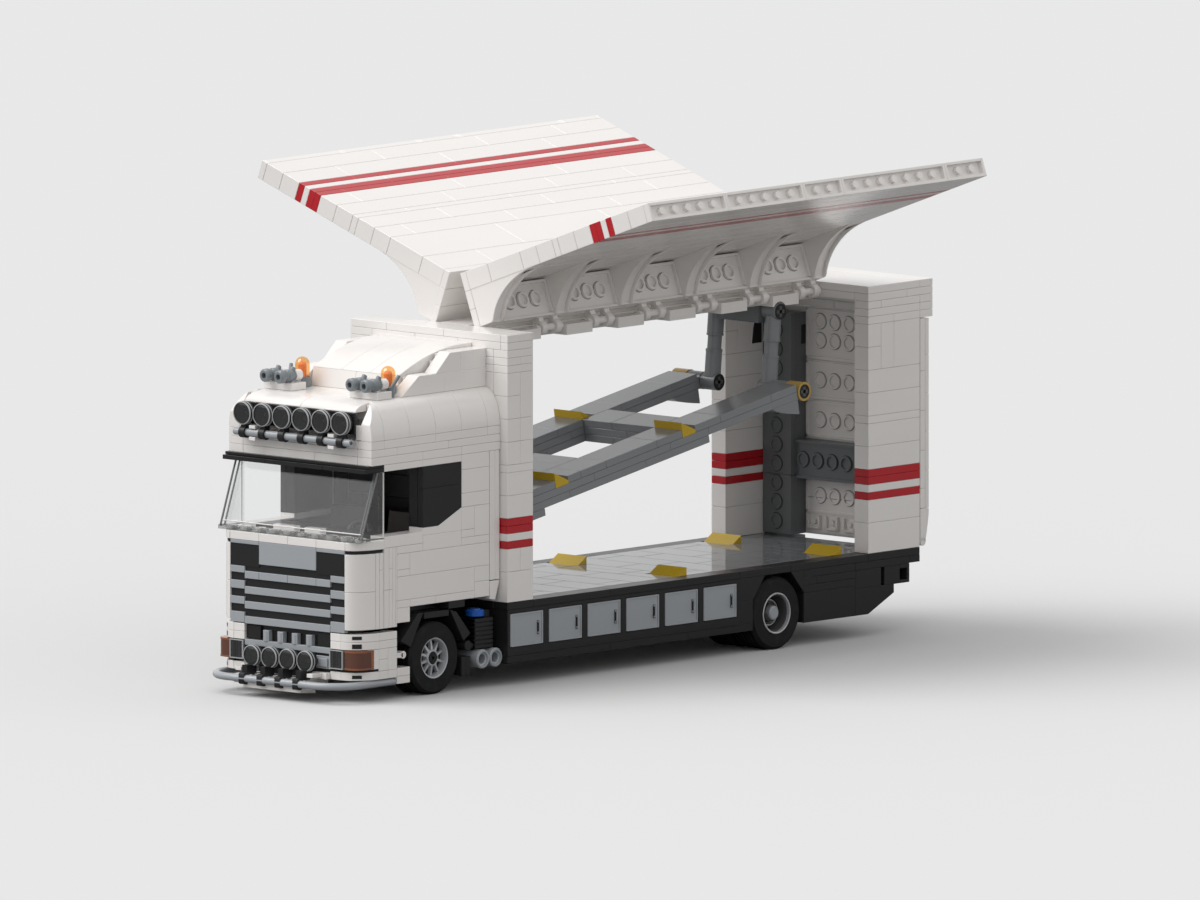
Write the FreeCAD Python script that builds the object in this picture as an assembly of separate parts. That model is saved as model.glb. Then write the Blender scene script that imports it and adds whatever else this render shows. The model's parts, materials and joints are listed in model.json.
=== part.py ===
"""Brick-built toy car transporter truck, in millimetres.

+Z is up, the truck faces -Y, and +X is its own left side. The origin is on the
ground, at the middle of the model's width and of its whole length.

The model sits on a brick grid. s counts studs rearward from the front face of
the transport box, x counts studs sideways from the middle, and k counts plates
up from the underside of the sill.
"""
import FreeCAD, Part
import math
import os

V = FreeCAD.Vector

# Brick grid
STUD = 8.0                  # pitch of the grid along X and Y
PLATE = 3.2                 # height of one plate
SILL_Z = 9.4                # underside of the sill above the ground
GAP = 0.3                   # clearance between pieces on different bodies
WALL = 8.0                  # wall of one brick
SKIN = 3.2                  # thin wall of a plate on its side

# Transport box
BOX_LENGTH = 256.0          # front face to rear face of the pillars
BOX_HALF = 44.0             # half of the box's width
DECK_K = 8                  # deck surface, in plates
LINTEL_K = 38               # top of the tailgate opening, in plates
ROOF_K = 43                 # top of the roof, in plates
FRONT_POST = 16.0           # length of the front posts, wall included
REAR_POST = 32.0            # length of the rear posts
ROOF_LIP = 8.0              # rear roof edge beyond the rear posts
STRIPES = ((15, 16), (17, 19))      # bottom and top of each red course, in plates

# Gull wings
WING_ROOF = 24.0            # width of a wing's roof part
WING_OPEN = 110.0           # angle from shut to the open rest pose, degrees
HINGE_REACH = 4.0           # wing hinge line inward of the wing's inner edge
HINGE_DROP = 3.8            # wing hinge line below the top of the roof
HINGE_COUNT = 6
HINGE_FIRST = 5.0           # front edge of the wing to the first hinge, studs
HINGE_LAST = 1.0            # last hinge to the rear edge of the wing, studs
HINGE_BAR_R = 1.6
CLIP_R = 3.0                # outside of the clip round the hinge bar
CLIP_W = 3.0
CORNER_A = 24.0             # inner corner curve, half axis across
CORNER_B = 32.0             # inner corner curve, half axis up
WING_BAYS = 5               # bays between the ribs
WING_STRIPES = ((7, 8), (9, 11))    # red courses, in plates up from the wing's edge

# Upper deck
RAMP_LENGTH = 176.0         # frame of the upper deck, 22 studs
RAMP_REACH = 4.3            # frame end to axle centre
RAMP_TILT = 10.07           # rest slope, degrees
RAMP_PIVOT_Y = 11.6         # front axle behind the box's front face
RAMP_PIVOT_UP = 37.9        # front axle above the deck
RAMP_SEAM = 0.9             # underside of the tiles above the line of the axles
TRACK_W = 16.0              # width of a track
AXLE_R = 2.4
BORE_R = 2.45
EYE_R = 3.7                 # round a pin hole
FRONT_EYE_R = 3.2           # round the front axle, close behind the front wall
BUSH_R = 4.0
ARM_LEAN = 5.2              # degrees the arm leans rearward at its top
ARM_DROP = 9.95             # top pin of the lift arm below the top of the roof
ARM_W = 8.0                 # width of a lift arm, its clearance included
CHOCK_HIGH = 6.4
CHOCK_LOW = 1.4
CHOCK_LIP = 0.4             # inner edge of a track left beside a chock
CHOCK_S = (14, 26)          # front edges of the chocks of the lower deck, studs

# Tailgate
GATE_T = 5.3                # thickness of the panel
GATE_GAP = 0.3
GATE_PIVOT_OUT = 2.0        # hinge behind the rear posts
GATE_PIVOT_UP = 2.0         # hinge above the deck
TRACK_T = 9.6               # thickness of the tracks stowed on the gate

# Lockers along the sides
LOCKER_DEPTH = 16.0
LOCKER_COUNT = 6
LOCKER_STOP = 3.0           # last locker to the rear axle, studs
LOCKER_WALL = 1.5
DOOR_T = 1.6
DOOR_K = (2.05, 6.55)       # bottom and top of the doors, in plates

# Wheels
TYRE_R = 15.2
TYRE_W = 14.0
RIM_R = 8.6                 # outside of the rim, inside of the tyre
FRONT_AXLE_S = -5.0         # studs
REAR_AXLE_S = 21.0
FRONT_INSET = 0.7           # face of a front tyre inward of the cab's side
TWIN_INSET = 1.0            # face of an outer rear tyre inward of the box's side
TWIN_SPACE = 2.0            # between the two tyres of a rear wheel

# Cab
CAB_HALF = 40.0
CAB_FRONT_S = -11.0         # grille face
CAB_BACK_S = -0.85
CAB_TOP_K = 36.1            # roof of the cab
BAR_R = 1.6                 # bars of the lamps and the bull bar
BULL_BAR_Y = -98.4          # front of the bull bar's centre line, from the box's face
LAMP_END = 12.5             # middle of the outermost roof lamp inward of the cab's side

FRONT_REACH = -BULL_BAR_Y + BAR_R
BOX_Y = (FRONT_REACH - BOX_LENGTH - ROOF_LIP) / 2


def y(s):
    """Y of a place s studs behind the box's front face."""
    return BOX_Y + s * STUD


def z(k):
    """Z of a place k plates above the underside of the sill."""
    return SILL_Z + k * PLATE


REAR_S = BOX_LENGTH / STUD
WING_S0 = FRONT_POST / STUD
WING_S1 = REAR_S - REAR_POST / STUD
POST_IN = BOX_HALF - WALL
TRACK_OUT = POST_IN
TRACK_IN = TRACK_OUT - TRACK_W
ARM_IN = TRACK_IN - ARM_W
WING_IN = BOX_HALF - WING_ROOF
HINGE_X = WING_IN - HINGE_REACH
HINGE_Z = z(ROOF_K) - HINGE_DROP
FRONT_TYRE_X = CAB_HALF - FRONT_INSET - TYRE_W
TWIN_OUT_X = BOX_HALF - TWIN_INSET - TYRE_W
TWIN_IN_X = TWIN_OUT_X - TWIN_SPACE - TYRE_W
CAB_IN = CAB_HALF - WALL
LOCKER_IN = BOX_HALF - LOCKER_DEPTH
LOCKER_END = REAR_AXLE_S - LOCKER_STOP
LOCKER_S = LOCKER_END / LOCKER_COUNT
RAMP_PIVOT_Z = z(DECK_K) + RAMP_PIVOT_UP
PIVOT = V(0, y(0) + RAMP_PIVOT_Y, RAMP_PIVOT_Z)
RAMP_SPAN = RAMP_LENGTH + 2 * RAMP_REACH
TILT = math.radians(RAMP_TILT)
LEAN = math.radians(ARM_LEAN)
ARM_FOOT = PIVOT + V(0, RAMP_SPAN * math.cos(TILT), RAMP_SPAN * math.sin(TILT))
ARM_LENGTH = (z(ROOF_K) - ARM_DROP - ARM_FOOT.z) / math.cos(LEAN)
ARM_HEAD = ARM_FOOT + V(0, ARM_LENGTH * math.sin(LEAN), ARM_LENGTH * math.cos(LEAN))


def box(x0, x1, y0, y1, z0, z1):
    return Part.makeBox(x1 - x0, y1 - y0, z1 - z0, V(x0, y0, z0))


def brick(x0, x1, s0, s1, k0, k1):
    """Box with X in millimetres, Y in studs and Z in plates."""
    return box(x0, x1, y(s0), y(s1), z(k0), z(k1))


def face(points):
    return Part.Face(Part.makePolygon(points + [points[0]]))


def side_prism(points, x0, x1):
    """Prism along X from (s, k) points."""
    return face([V(x0, y(s), z(k)) for s, k in points]).extrude(V(x1 - x0, 0, 0))


def side_prism_mm(points, x0, x1):
    """Prism along X from (Y, Z) points in millimetres."""
    return face([V(x0, py, pz) for py, pz in points]).extrude(V(x1 - x0, 0, 0))


def front_prism(points, y0, y1):
    """Prism along Y from (X, Z) points in millimetres."""
    return face([V(px, y0, pz) for px, pz in points]).extrude(V(0, y1 - y0, 0))


def plan_prism(points, z0, z1):
    """Prism along Z from (X, Y) points in millimetres."""
    return face([V(px, py, z0) for px, py in points]).extrude(V(0, 0, z1 - z0))


def rod_x(r, x0, x1, py, pz):
    return Part.makeCylinder(r, x1 - x0, V(x0, py, pz), V(1, 0, 0))


def rod_y(r, y0, y1, px, pz):
    return Part.makeCylinder(r, y1 - y0, V(px, y0, pz), V(0, 1, 0))


def rod_z(r, z0, z1, px, py):
    return Part.makeCylinder(r, z1 - z0, V(px, py, z0), V(0, 0, 1))


def fuse(shapes):
    shapes = list(shapes)
    if len(shapes) == 1:
        return shapes[0]
    return shapes[0].fuse(shapes[1:]).removeSplitter()


def mirrored(shape):
    """The same piece on the other side of the truck."""
    return shape.mirror(V(0, 0, 0), V(1, 0, 0))


def both(shape):
    """A piece and its mirror image, kept as two solids."""
    return [shape, mirrored(shape)]


def save(name, shapes):
    if not isinstance(shapes, list):
        shapes = [shapes]
    solids = [solid for shape in shapes for solid in shape.Solids]
    Part.makeCompound(solids).exportStep("parts/" + name + ".step")


# Chassis

def chassis():
    half = TWIN_IN_X - 1
    spine = brick(-half, half, 0, REAR_S - 1, 1, 6)
    under_cab = brick(28 - CAB_HALF, CAB_HALF - 28, -9.5, 0, 1, 6)
    plate = brick(-LOCKER_IN, LOCKER_IN, 0, REAR_S - 1, 6, 7)
    plate = plate.cut(fuse(both(brick(half, BOX_HALF, REAR_AXLE_S - 2.4, REAR_AXLE_S + 2.4,
                                      5, 8))))
    front = brick(20 - CAB_HALF, CAB_HALF - 20, -9.5, 0, 6, 8)
    beam = brick(-POST_IN, POST_IN, REAR_S - 2, REAR_S - 0.8, 3.6, 6)
    frame = fuse([spine, under_cab, plate, front, beam])
    for s in (FRONT_AXLE_S, REAR_AXLE_S):
        frame = frame.cut(rod_x(BORE_R, -BOX_HALF, BOX_HALF, y(s), TYRE_R))
    save("chassis_frame", frame)

    axles = []
    for s, reach in ((FRONT_AXLE_S, FRONT_TYRE_X + TYRE_W - 1),
                     (REAR_AXLE_S, TWIN_OUT_X + TYRE_W - 3)):
        axles.append(rod_x(AXLE_R, -reach, reach, y(s), TYRE_R))
    save("axles", axles)

    floor = brick(-POST_IN, POST_IN, 1, REAR_S - 1, DECK_K - 1, DECK_K)
    tongues = both(brick(TRACK_IN, POST_IN, REAR_S - 1, REAR_S, DECK_K - 1, DECK_K))
    floor = fuse([floor] + tongues)
    for s in CHOCK_S:
        floor = floor.cut(fuse(both(brick(TRACK_IN, TRACK_OUT, s, s + 1, DECK_K - 2, DECK_K + 1))))
    save("deck_floor", floor)
    rim = [brick(POST_IN, BOX_HALF, 0, REAR_S, DECK_K - 1, DECK_K)]
    rim = [solid for edge in rim for solid in both(edge)]
    rim.append(brick(-POST_IN, POST_IN, 0, 1, DECK_K - 1, DECK_K))
    arch0 = REAR_AXLE_S - 1.95
    arch1 = REAR_AXLE_S + 2
    front_skirt = [(0, 0), (arch0, 0), (arch0, 4), (arch0 + 0.95, 7), (LOCKER_END, 7),
                   (LOCKER_END, 1), (0, 1)]
    skirts = both(side_prism(front_skirt, POST_IN, BOX_HALF))
    rear_skirt = [(arch1, 0.1), (REAR_S - 4, 0.1), (REAR_S - 2, 2.5), (REAR_S - 2, 3.6),
                  (REAR_S - 0.8, 3.6), (REAR_S - 0.8, 6.1), (REAR_S, 6.1), (REAR_S, 7),
                  (arch1 - 1, 7), (arch1, 4.1)]
    skirt = side_prism(rear_skirt, POST_IN, BOX_HALF)
    skirt = skirt.cut(brick(BOX_HALF - 3, BOX_HALF + 1, REAR_S - 3, REAR_S - 2.75, 3.6, 6.1))
    skirt = skirt.cut(brick(BOX_HALF - 4, BOX_HALF + 1, REAR_S - 1.55, REAR_S - 1, 4, 5.5))
    save("side_sills", fuse(rim + skirts + both(skirt)))
    lamps = []
    for px in (POST_IN - 12, POST_IN - 4):
        lamp = rod_y(3, y(REAR_S - 0.8), y(REAR_S - 0.8) + 2.4, px, z(4.8))
        lamps += both(lamp)
    save("tail_lamps", lamps)


def lockers():
    case = brick(LOCKER_IN, BOX_HALF, 0, LOCKER_S * LOCKER_COUNT, 1, 7)
    margin = 0.2
    for i in range(LOCKER_COUNT):
        s0 = i * LOCKER_S + margin
        s1 = (i + 1) * LOCKER_S - margin
        pocket = box(LOCKER_IN + LOCKER_WALL, BOX_HALF + 1, y(s0), y(s1),
                     z(DOOR_K[0]), z(DOOR_K[1]))
        case = case.cut(pocket)
        pivot_x = BOX_HALF - DOOR_T / 2
        pivot_y = y(s0) + GAP + DOOR_T / 2
        z0 = z(DOOR_K[0]) + GAP
        z1 = z(DOOR_K[1]) - GAP
        panel = box(BOX_HALF - DOOR_T, BOX_HALF, pivot_y, y(s1) - GAP, z0, z1)
        knuckle = rod_z(DOOR_T / 2, z0, z1, pivot_x, pivot_y)
        grip = box(BOX_HALF, BOX_HALF + 1.2, y(s1) - 4.2, y(s1) - 2.2, z(3.5), z(5.1))
        door = fuse([panel, knuckle, grip])
        save("locker_door_left_%d" % (i + 1), door)
        save("locker_door_right_%d" % (i + 1), mirrored(door))
    save("locker_cases", both(case))


# Wheels

def tyre(x0):
    """Tyre with its tread grooves, inner face at x0, on the X axis."""
    r0 = RIM_R
    shoulder = 1.2
    outline = [(x0, r0), (x0, TYRE_R - shoulder), (x0 + shoulder, TYRE_R)]
    groove_w = 0.9
    for i in range(5):
        gx = x0 + TYRE_W / 2 + (i - 2) * 2.2
        outline += [(gx - groove_w / 2, TYRE_R), (gx - groove_w / 2, TYRE_R - 0.8),
                    (gx + groove_w / 2, TYRE_R - 0.8), (gx + groove_w / 2, TYRE_R)]
    outline += [(x0 + TYRE_W - shoulder, TYRE_R), (x0 + TYRE_W, TYRE_R - shoulder),
                (x0 + TYRE_W, r0)]
    profile = face([V(px, 0, pr) for px, pr in outline])
    return profile.revolve(V(0, 0, 0), V(1, 0, 0), 360)


def rim(x0, outer, dish, hub_r, hub_out):
    """Rim from x0 to outer, with a disc dish deep from its outer face."""
    barrel = rod_x(RIM_R, x0, outer, 0, 0).cut(rod_x(RIM_R - 1.3, x0 - 1, outer + 1, 0, 0))
    disc = rod_x(RIM_R - 1, outer - dish - 2, outer - dish, 0, 0)
    hub = rod_x(hub_r, x0, outer - dish + hub_out, 0, 0)
    return fuse([barrel, disc, hub]).cut(rod_x(BORE_R, x0 - 1, outer + 9, 0, 0))


def wheels():
    face_out = FRONT_TYRE_X + TYRE_W - 0.5
    front_tyre = tyre(FRONT_TYRE_X)
    front_rim = rim(FRONT_TYRE_X + 0.5, face_out, 1.5, 4.0, 0.8)
    spokes = []
    for i in range(10):
        spoke = box(face_out - 3, face_out - 0.8, -0.6, 0.6, 3.6, RIM_R - 1)
        spoke.rotate(V(0, 0, 0), V(1, 0, 0), i * 36)
        spokes.append(spoke)
    front_rim = fuse([front_rim] + spokes)
    rear_tyres = [tyre(TWIN_IN_X), tyre(TWIN_OUT_X)]
    inner = rim(TWIN_IN_X + 0.5, TWIN_IN_X + TYRE_W - 0.5, 4, 3.8, 3)
    outer = rim(TWIN_OUT_X + 0.5, TWIN_OUT_X + TYRE_W - 0.5, 8, 3.8, 5.5)
    sleeve = rod_x(3.8, TWIN_IN_X + 8, TWIN_OUT_X + 4, 0, 0)
    sleeve = sleeve.cut(rod_x(BORE_R, TWIN_IN_X, TWIN_OUT_X + 9, 0, 0))
    rear_rim = fuse([inner, outer, sleeve])
    cap = rod_x(3.4, TWIN_OUT_X + TYRE_W - 2.95, TWIN_OUT_X + TYRE_W + 0.6, 0, 0)
    rear_rim = fuse([rear_rim, cap])
    table = (("front", FRONT_AXLE_S, [front_tyre], front_rim),
             ("rear", REAR_AXLE_S, rear_tyres, rear_rim))
    for name, s, tyres, wheel_rim in table:
        place = V(0, y(s), TYRE_R)
        for side in ("left", "right"):
            shapes = [t.copy() for t in tyres] + [wheel_rim.copy()]
            if side == "right":
                shapes = [mirrored(shape) for shape in shapes]
            for shape in shapes:
                shape.translate(place)
            save("tyre_%s_%s" % (name, side), shapes[:-1])
            save("rim_%s_%s" % (name, side), shapes[-1])


# Transport box

def courses(section, k0, k1):
    """White and red courses of a wall: section(k0, k1) makes the pieces of one course."""
    white = []
    red = []
    low = k0
    for s0, s1 in STRIPES:
        white += section(low, s0)
        red += section(s0, s1)
        low = s1
    white += section(low, k1)
    return white, red


def box_body():
    def front(k0, k1):
        wall = brick(-BOX_HALF, BOX_HALF, 0, 1, k0, k1)
        return [wall] + both(box(POST_IN, BOX_HALF, y(1), y(0) + FRONT_POST, z(k0), z(k1)))

    pivot_y = y(0) + RAMP_PIVOT_Y
    white, stripes = courses(front, DECK_K, ROOF_K)
    holes = rod_x(BORE_R, -BOX_HALF + 2, BOX_HALF - 2, pivot_y, RAMP_PIVOT_Z)
    roof = box(-POST_IN, POST_IN, y(1), y(0) + FRONT_POST, z(ROOF_K - 2), z(ROOF_K))
    save("box_front", [piece.cut(holes) for piece in white] + [roof])

    def rear(k0, k1):
        return both(box(POST_IN, BOX_HALF, y(REAR_S) - REAR_POST, y(REAR_S), z(k0), z(k1)))

    white, red = courses(rear, DECK_K, LINTEL_K)
    header = [box(-BOX_HALF, BOX_HALF, y(REAR_S) - REAR_POST, y(REAR_S) + ROOF_LIP,
                  z(ROOF_K - 2), z(ROOF_K)),
              box(-BOX_HALF, BOX_HALF, y(REAR_S), y(REAR_S) + ROOF_LIP,
                  z(LINTEL_K), z(ROOF_K)),
              brick(-BOX_HALF, -POST_IN, REAR_S - 4, REAR_S, LINTEL_K, ROOF_K),
              brick(POST_IN, BOX_HALF, REAR_S - 4, REAR_S, LINTEL_K, ROOF_K)]
    top = fuse(header + white[-2:])
    save("box_rear", [top] + white[:-2])
    save("stripes", stripes + red)


def hinge_places():
    """Middle of each wing hinge, in studs behind the box's front face."""
    first = WING_S0 + HINGE_FIRST
    pitch = (WING_S1 - HINGE_LAST - first) / (HINGE_COUNT - 1)
    return [first + i * pitch for i in range(HINGE_COUNT)]


def roof_spine():
    low_k = ROOF_K - 2.4
    high_k = ROOF_K - 1
    core = brick(-ARM_IN, ARM_IN, WING_S0, WING_S1, low_k, high_k)
    ridge = brick(-STUD, STUD, WING_S0, WING_S1, high_k, ROOF_K)
    blocks = []
    edge = WING_IN - 2 * GAP
    low = WING_S0
    for s in hinge_places():
        blocks += both(brick(ARM_IN, edge, low, s - 1, low_k, high_k))
        low = s + 1
    for s in hinge_places():
        blocks += both(rod_y(HINGE_BAR_R, y(s - 1), y(s + 1), HINGE_X, HINGE_Z))
    spine = fuse([core, ridge] + blocks)
    notch = both(rod_x(EYE_R + 0.5, ARM_IN - GAP, BOX_HALF, ARM_HEAD.y, ARM_HEAD.z))
    notch = fuse(notch + [rod_x(BORE_R, -ARM_IN, ARM_IN, ARM_HEAD.y, ARM_HEAD.z)])
    save("roof_spine", spine.cut(notch))


def chock(x0, x1, y_high, y_low, z0):
    """Wheel chock that falls from y_high to y_low, one plate of it sunk in the deck."""
    points = [(y_high, z0), (y_high, z0 + CHOCK_HIGH), (y_low, z0 + CHOCK_LOW), (y_low, z0)]
    return side_prism_mm(points, x0, x1)


def deck_chocks():
    pieces = []
    for s in CHOCK_S:
        pieces += both(chock(TRACK_IN, TRACK_OUT, y(s + 1), y(s), z(DECK_K - 1)))
    save("deck_chocks", pieces)


def wing():
    """Left wing, shut, then turned open about its hinge line."""
    y0 = y(0) + FRONT_POST + GAP
    y1 = y(REAR_S) - REAR_POST - GAP
    top = z(ROOF_K)
    bottom = z(DECK_K) + GAP
    inner = WING_IN
    skin = box(inner, BOX_HALF, y0, y1, top - SKIN, top)
    white = [skin]
    red = []
    low = bottom
    for k0, k1 in WING_STRIPES:
        white.append(box(POST_IN, BOX_HALF, y0, y1, low, z(DECK_K + k0)))
        red.append(box(POST_IN, BOX_HALF, y0, y1, z(DECK_K + k0), z(DECK_K + k1)))
        low = z(DECK_K + k1)
    white.append(box(POST_IN, BOX_HALF, y0, y1, low, top - SKIN))

    centre_x = POST_IN - CORNER_A
    centre_z = top - SKIN - 5.4 - CORNER_B
    ribs = []
    bay = (WING_S1 - WING_S0 - 1) * STUD / WING_BAYS
    for i in range(WING_BAYS + 1):
        r0 = max(y0, y(WING_S0) + i * bay)
        r1 = min(y1, y(WING_S0) + i * bay + STUD)
        block = box(inner, POST_IN + 1, r0, r1, centre_z, top - SKIN / 2)
        hole = Part.makeCylinder(1, r1 - r0 + 2, V(0, 0, 0), V(0, 1, 0))
        scale = FreeCAD.Matrix()
        scale.scale(CORNER_A, 1, CORNER_B)
        hole = hole.transformGeometry(scale)
        hole.translate(V(centre_x, r0 - 1, centre_z))
        ribs.append(block.cut(hole))
    clips = []
    cuts = []
    for s in hinge_places():
        for side in (-1, 1):
            cy = y(s) + side * 4.4
            ring = rod_y(CLIP_R, cy - CLIP_W / 2, cy + CLIP_W / 2, HINGE_X, HINGE_Z)
            arm = box(HINGE_X, inner + 1, cy - CLIP_W / 2, cy + CLIP_W / 2,
                      HINGE_Z - 1.6, HINGE_Z + 1.6)
            bracket = box(inner, inner + 4, cy - CLIP_W / 2, cy + CLIP_W / 2,
                          HINGE_Z - 1.6, top - SKIN)
            clips += [ring, arm, bracket]
            cuts.append(rod_y(HINGE_BAR_R + 0.05, cy - CLIP_W, cy + CLIP_W, HINGE_X, HINGE_Z))
    upper = fuse([white[0], white[-1]] + ribs + clips)
    for cut in cuts:
        upper = upper.cut(cut)
    white = [upper] + white[1:-1]

    bricks = (6, 6, 3, 8, 3)
    s0 = WING_S0
    for studs in bricks:
        s1 = s0 + studs * (WING_S1 - WING_S0) / sum(bricks)
        recess = box(POST_IN + 1.5, BOX_HALF - 1.5, y(s0) + 1.5, y(s1) - 1.5,
                     bottom - 1, bottom + 5)
        white[1] = white[1].cut(recess)
        s0 = s1

    groups = {"wing": white, "wing_stripe": red}
    for name, shapes in groups.items():
        opened = []
        for shape in shapes:
            shape = shape.copy()
            shape.rotate(V(HINGE_X, 0, HINGE_Z), V(0, -1, 0), WING_OPEN)
            opened.append(shape)
        save(name + "_left", opened)
        save(name + "_right", [mirrored(shape) for shape in opened])


# Upper deck

def on_ramp(shape):
    """Place a shape built about the front axle onto the sloping upper deck."""
    shape = shape.copy()
    shape.rotate(V(0, 0, 0), V(1, 0, 0), RAMP_TILT)
    shape.translate(PIVOT)
    return shape


def upper_deck():
    end = RAMP_REACH + RAMP_LENGTH
    start = RAMP_REACH
    out = TRACK_OUT - GAP
    top = RAMP_SEAM + PLATE
    mid = RAMP_SEAM
    low = RAMP_SEAM - PLATE
    base = RAMP_SEAM - 2 * PLATE
    step = end - 7 * STUD
    track = side_prism_mm([(start, base), (step, base), (step, low), (end, low),
                           (end, top), (start, top)], TRACK_IN, out)
    bracket = side_prism_mm([(end - 16, low), (end - 12, low - 3.2), (end - 7, low - 5.6),
                             (end - 3, low - 6.4), (end, low - 6.4), (end, low)],
                            TRACK_IN, out)
    foot = box(TRACK_IN, out, start, start + 2 * STUD, base - PLATE, base)
    cuts = []
    for back in (19, 9):
        y0 = end - back * STUD
        cuts.append(box(TRACK_IN + CHOCK_LIP, out + 1, y0, y0 + STUD, mid, top + 1))
    rear_lug = fuse([rod_x(EYE_R, TRACK_IN, TRACK_IN + 8, RAMP_SPAN, 0),
                     box(TRACK_IN, TRACK_IN + 8, end - 1, RAMP_SPAN, -EYE_R + 1, 2.3)])
    front_lug = fuse([rod_x(FRONT_EYE_R, TRACK_IN, out, 0, 0),
                      box(TRACK_IN, out, 0, start + 1, -FRONT_EYE_R + 1, 2.3)])
    side = fuse([track, bracket, foot, rear_lug, front_lug])
    for cut in cuts:
        side = side.cut(cut)
    side = side.cut(rod_x(BORE_R, TRACK_IN - 1, out + 1, RAMP_SPAN, 0))
    side = side.cut(rod_x(BORE_R, TRACK_IN - 1, out + 1, 0, 0))
    cross = [box(-TRACK_IN, TRACK_IN, end - 9 * STUD, step, base, top),
             box(-TRACK_IN, TRACK_IN, start, end - 15 * STUD, base, top)]
    frame = fuse(both(side) + cross)
    save("upper_deck", on_ramp(frame))
    pieces = []
    for back in (19, 9):
        y0 = end - back * STUD
        piece = chock(TRACK_IN + CHOCK_LIP, out, y0, y0 + STUD, mid)
        pieces += both(piece)
    save("upper_deck_chocks", [on_ramp(piece) for piece in pieces])
    bushes = []
    bush = rod_x(BUSH_R, TRACK_IN + 8, out, RAMP_SPAN, 0)
    bush = bush.cut(rod_x(BORE_R, TRACK_IN, out + 1, RAMP_SPAN, 0))
    save("upper_deck_bushes", [on_ramp(piece) for piece in both(bush)])
    axle = rod_x(AXLE_R, TRACK_IN, out, RAMP_SPAN, 0)
    front = rod_x(AXLE_R, -BOX_HALF + 2.4, BOX_HALF - 2.4, 0, 0)
    save("upper_deck_axles", [on_ramp(piece) for piece in both(axle) + [front]])


def lift_arms():
    foot = ARM_FOOT
    head = ARM_HEAD
    x0 = ARM_IN
    x1 = TRACK_IN - GAP
    xm = (x0 + x1) / 2
    parts = [rod_x(EYE_R, x0, x1, 0, 0), rod_x(EYE_R, x0, x1, 0, ARM_LENGTH)]
    for a, b, r in ((0.06, 0.34, 3.4), (0.34, 0.5, 2.9), (0.5, 0.66, 3.4),
                    (0.66, 0.78, 2.9), (0.78, 0.94, 3.4)):
        parts.append(rod_z(r, a * ARM_LENGTH, b * ARM_LENGTH, xm, 0))
    arm = fuse(parts)
    arm.rotate(V(0, 0, 0), V(1, 0, 0), -ARM_LEAN)
    arm.translate(foot)
    axle = rod_x(AXLE_R, -x1, x1, head.y, head.z)
    save("lift_arms", fuse(both(arm) + [axle]))
    block = box(-ARM_IN + GAP, ARM_IN - GAP, head.y - 5, head.y + 5, head.z - 5,
                z(ROOF_K - 2.4))
    save("arm_hanger", block.cut(rod_x(BORE_R, -ARM_IN, ARM_IN, head.y, head.z)))


# Tailgate

def tailgate():
    back = y(REAR_S)
    face_in = back + GATE_GAP
    pivot_y = back + GATE_PIVOT_OUT
    pivot_z = z(DECK_K) + GATE_PIVOT_UP
    high = z(LINTEL_K) - 0.5
    knuckle = rod_x(GATE_PIVOT_OUT - GATE_GAP, -BOX_HALF, BOX_HALF, pivot_y, pivot_z)
    panel = side_prism_mm([(face_in, pivot_z), (pivot_y + 1.4, pivot_z - 0.4),
                           (face_in + GATE_T * 0.8, pivot_z + 4.5),
                           (face_in + GATE_T, pivot_z + 11.5), (face_in + GATE_T, high),
                           (face_in, high)], -BOX_HALF, BOX_HALF)
    save("tailgate", fuse([panel, knuckle]))
    bars = both(box(TRACK_IN, POST_IN - GAP, back - TRACK_T + GATE_GAP, face_in,
                    z(DECK_K) + 2 * GAP, z(LINTEL_K - 0.8)))
    beam = box(-TRACK_IN, TRACK_IN, back - 2 * PLATE + GATE_GAP, face_in, z(15.6), z(20.6))
    save("tailgate_tracks", fuse(bars + [beam]))


# Cab

def nose(x_side, s_back, round_x, round_s, k0, k1, inset=0.0):
    """Block across the cab's nose with rounded front corners."""
    points = [(-x_side + inset, y(s_back))]
    arc = []
    for i in range(9):
        t = math.radians(i * 90 / 8)
        px = x_side - inset - round_x + round_x * math.sin(t)
        py = y(CAB_FRONT_S) + inset + round_s * STUD * (1 - math.cos(t))
        arc.append((px, py))
    points += [(-px, py) for px, py in reversed(arc)]
    points += arc
    points.append((x_side - inset, y(s_back)))
    return plan_prism(points, z(k0), z(k1))


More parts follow.
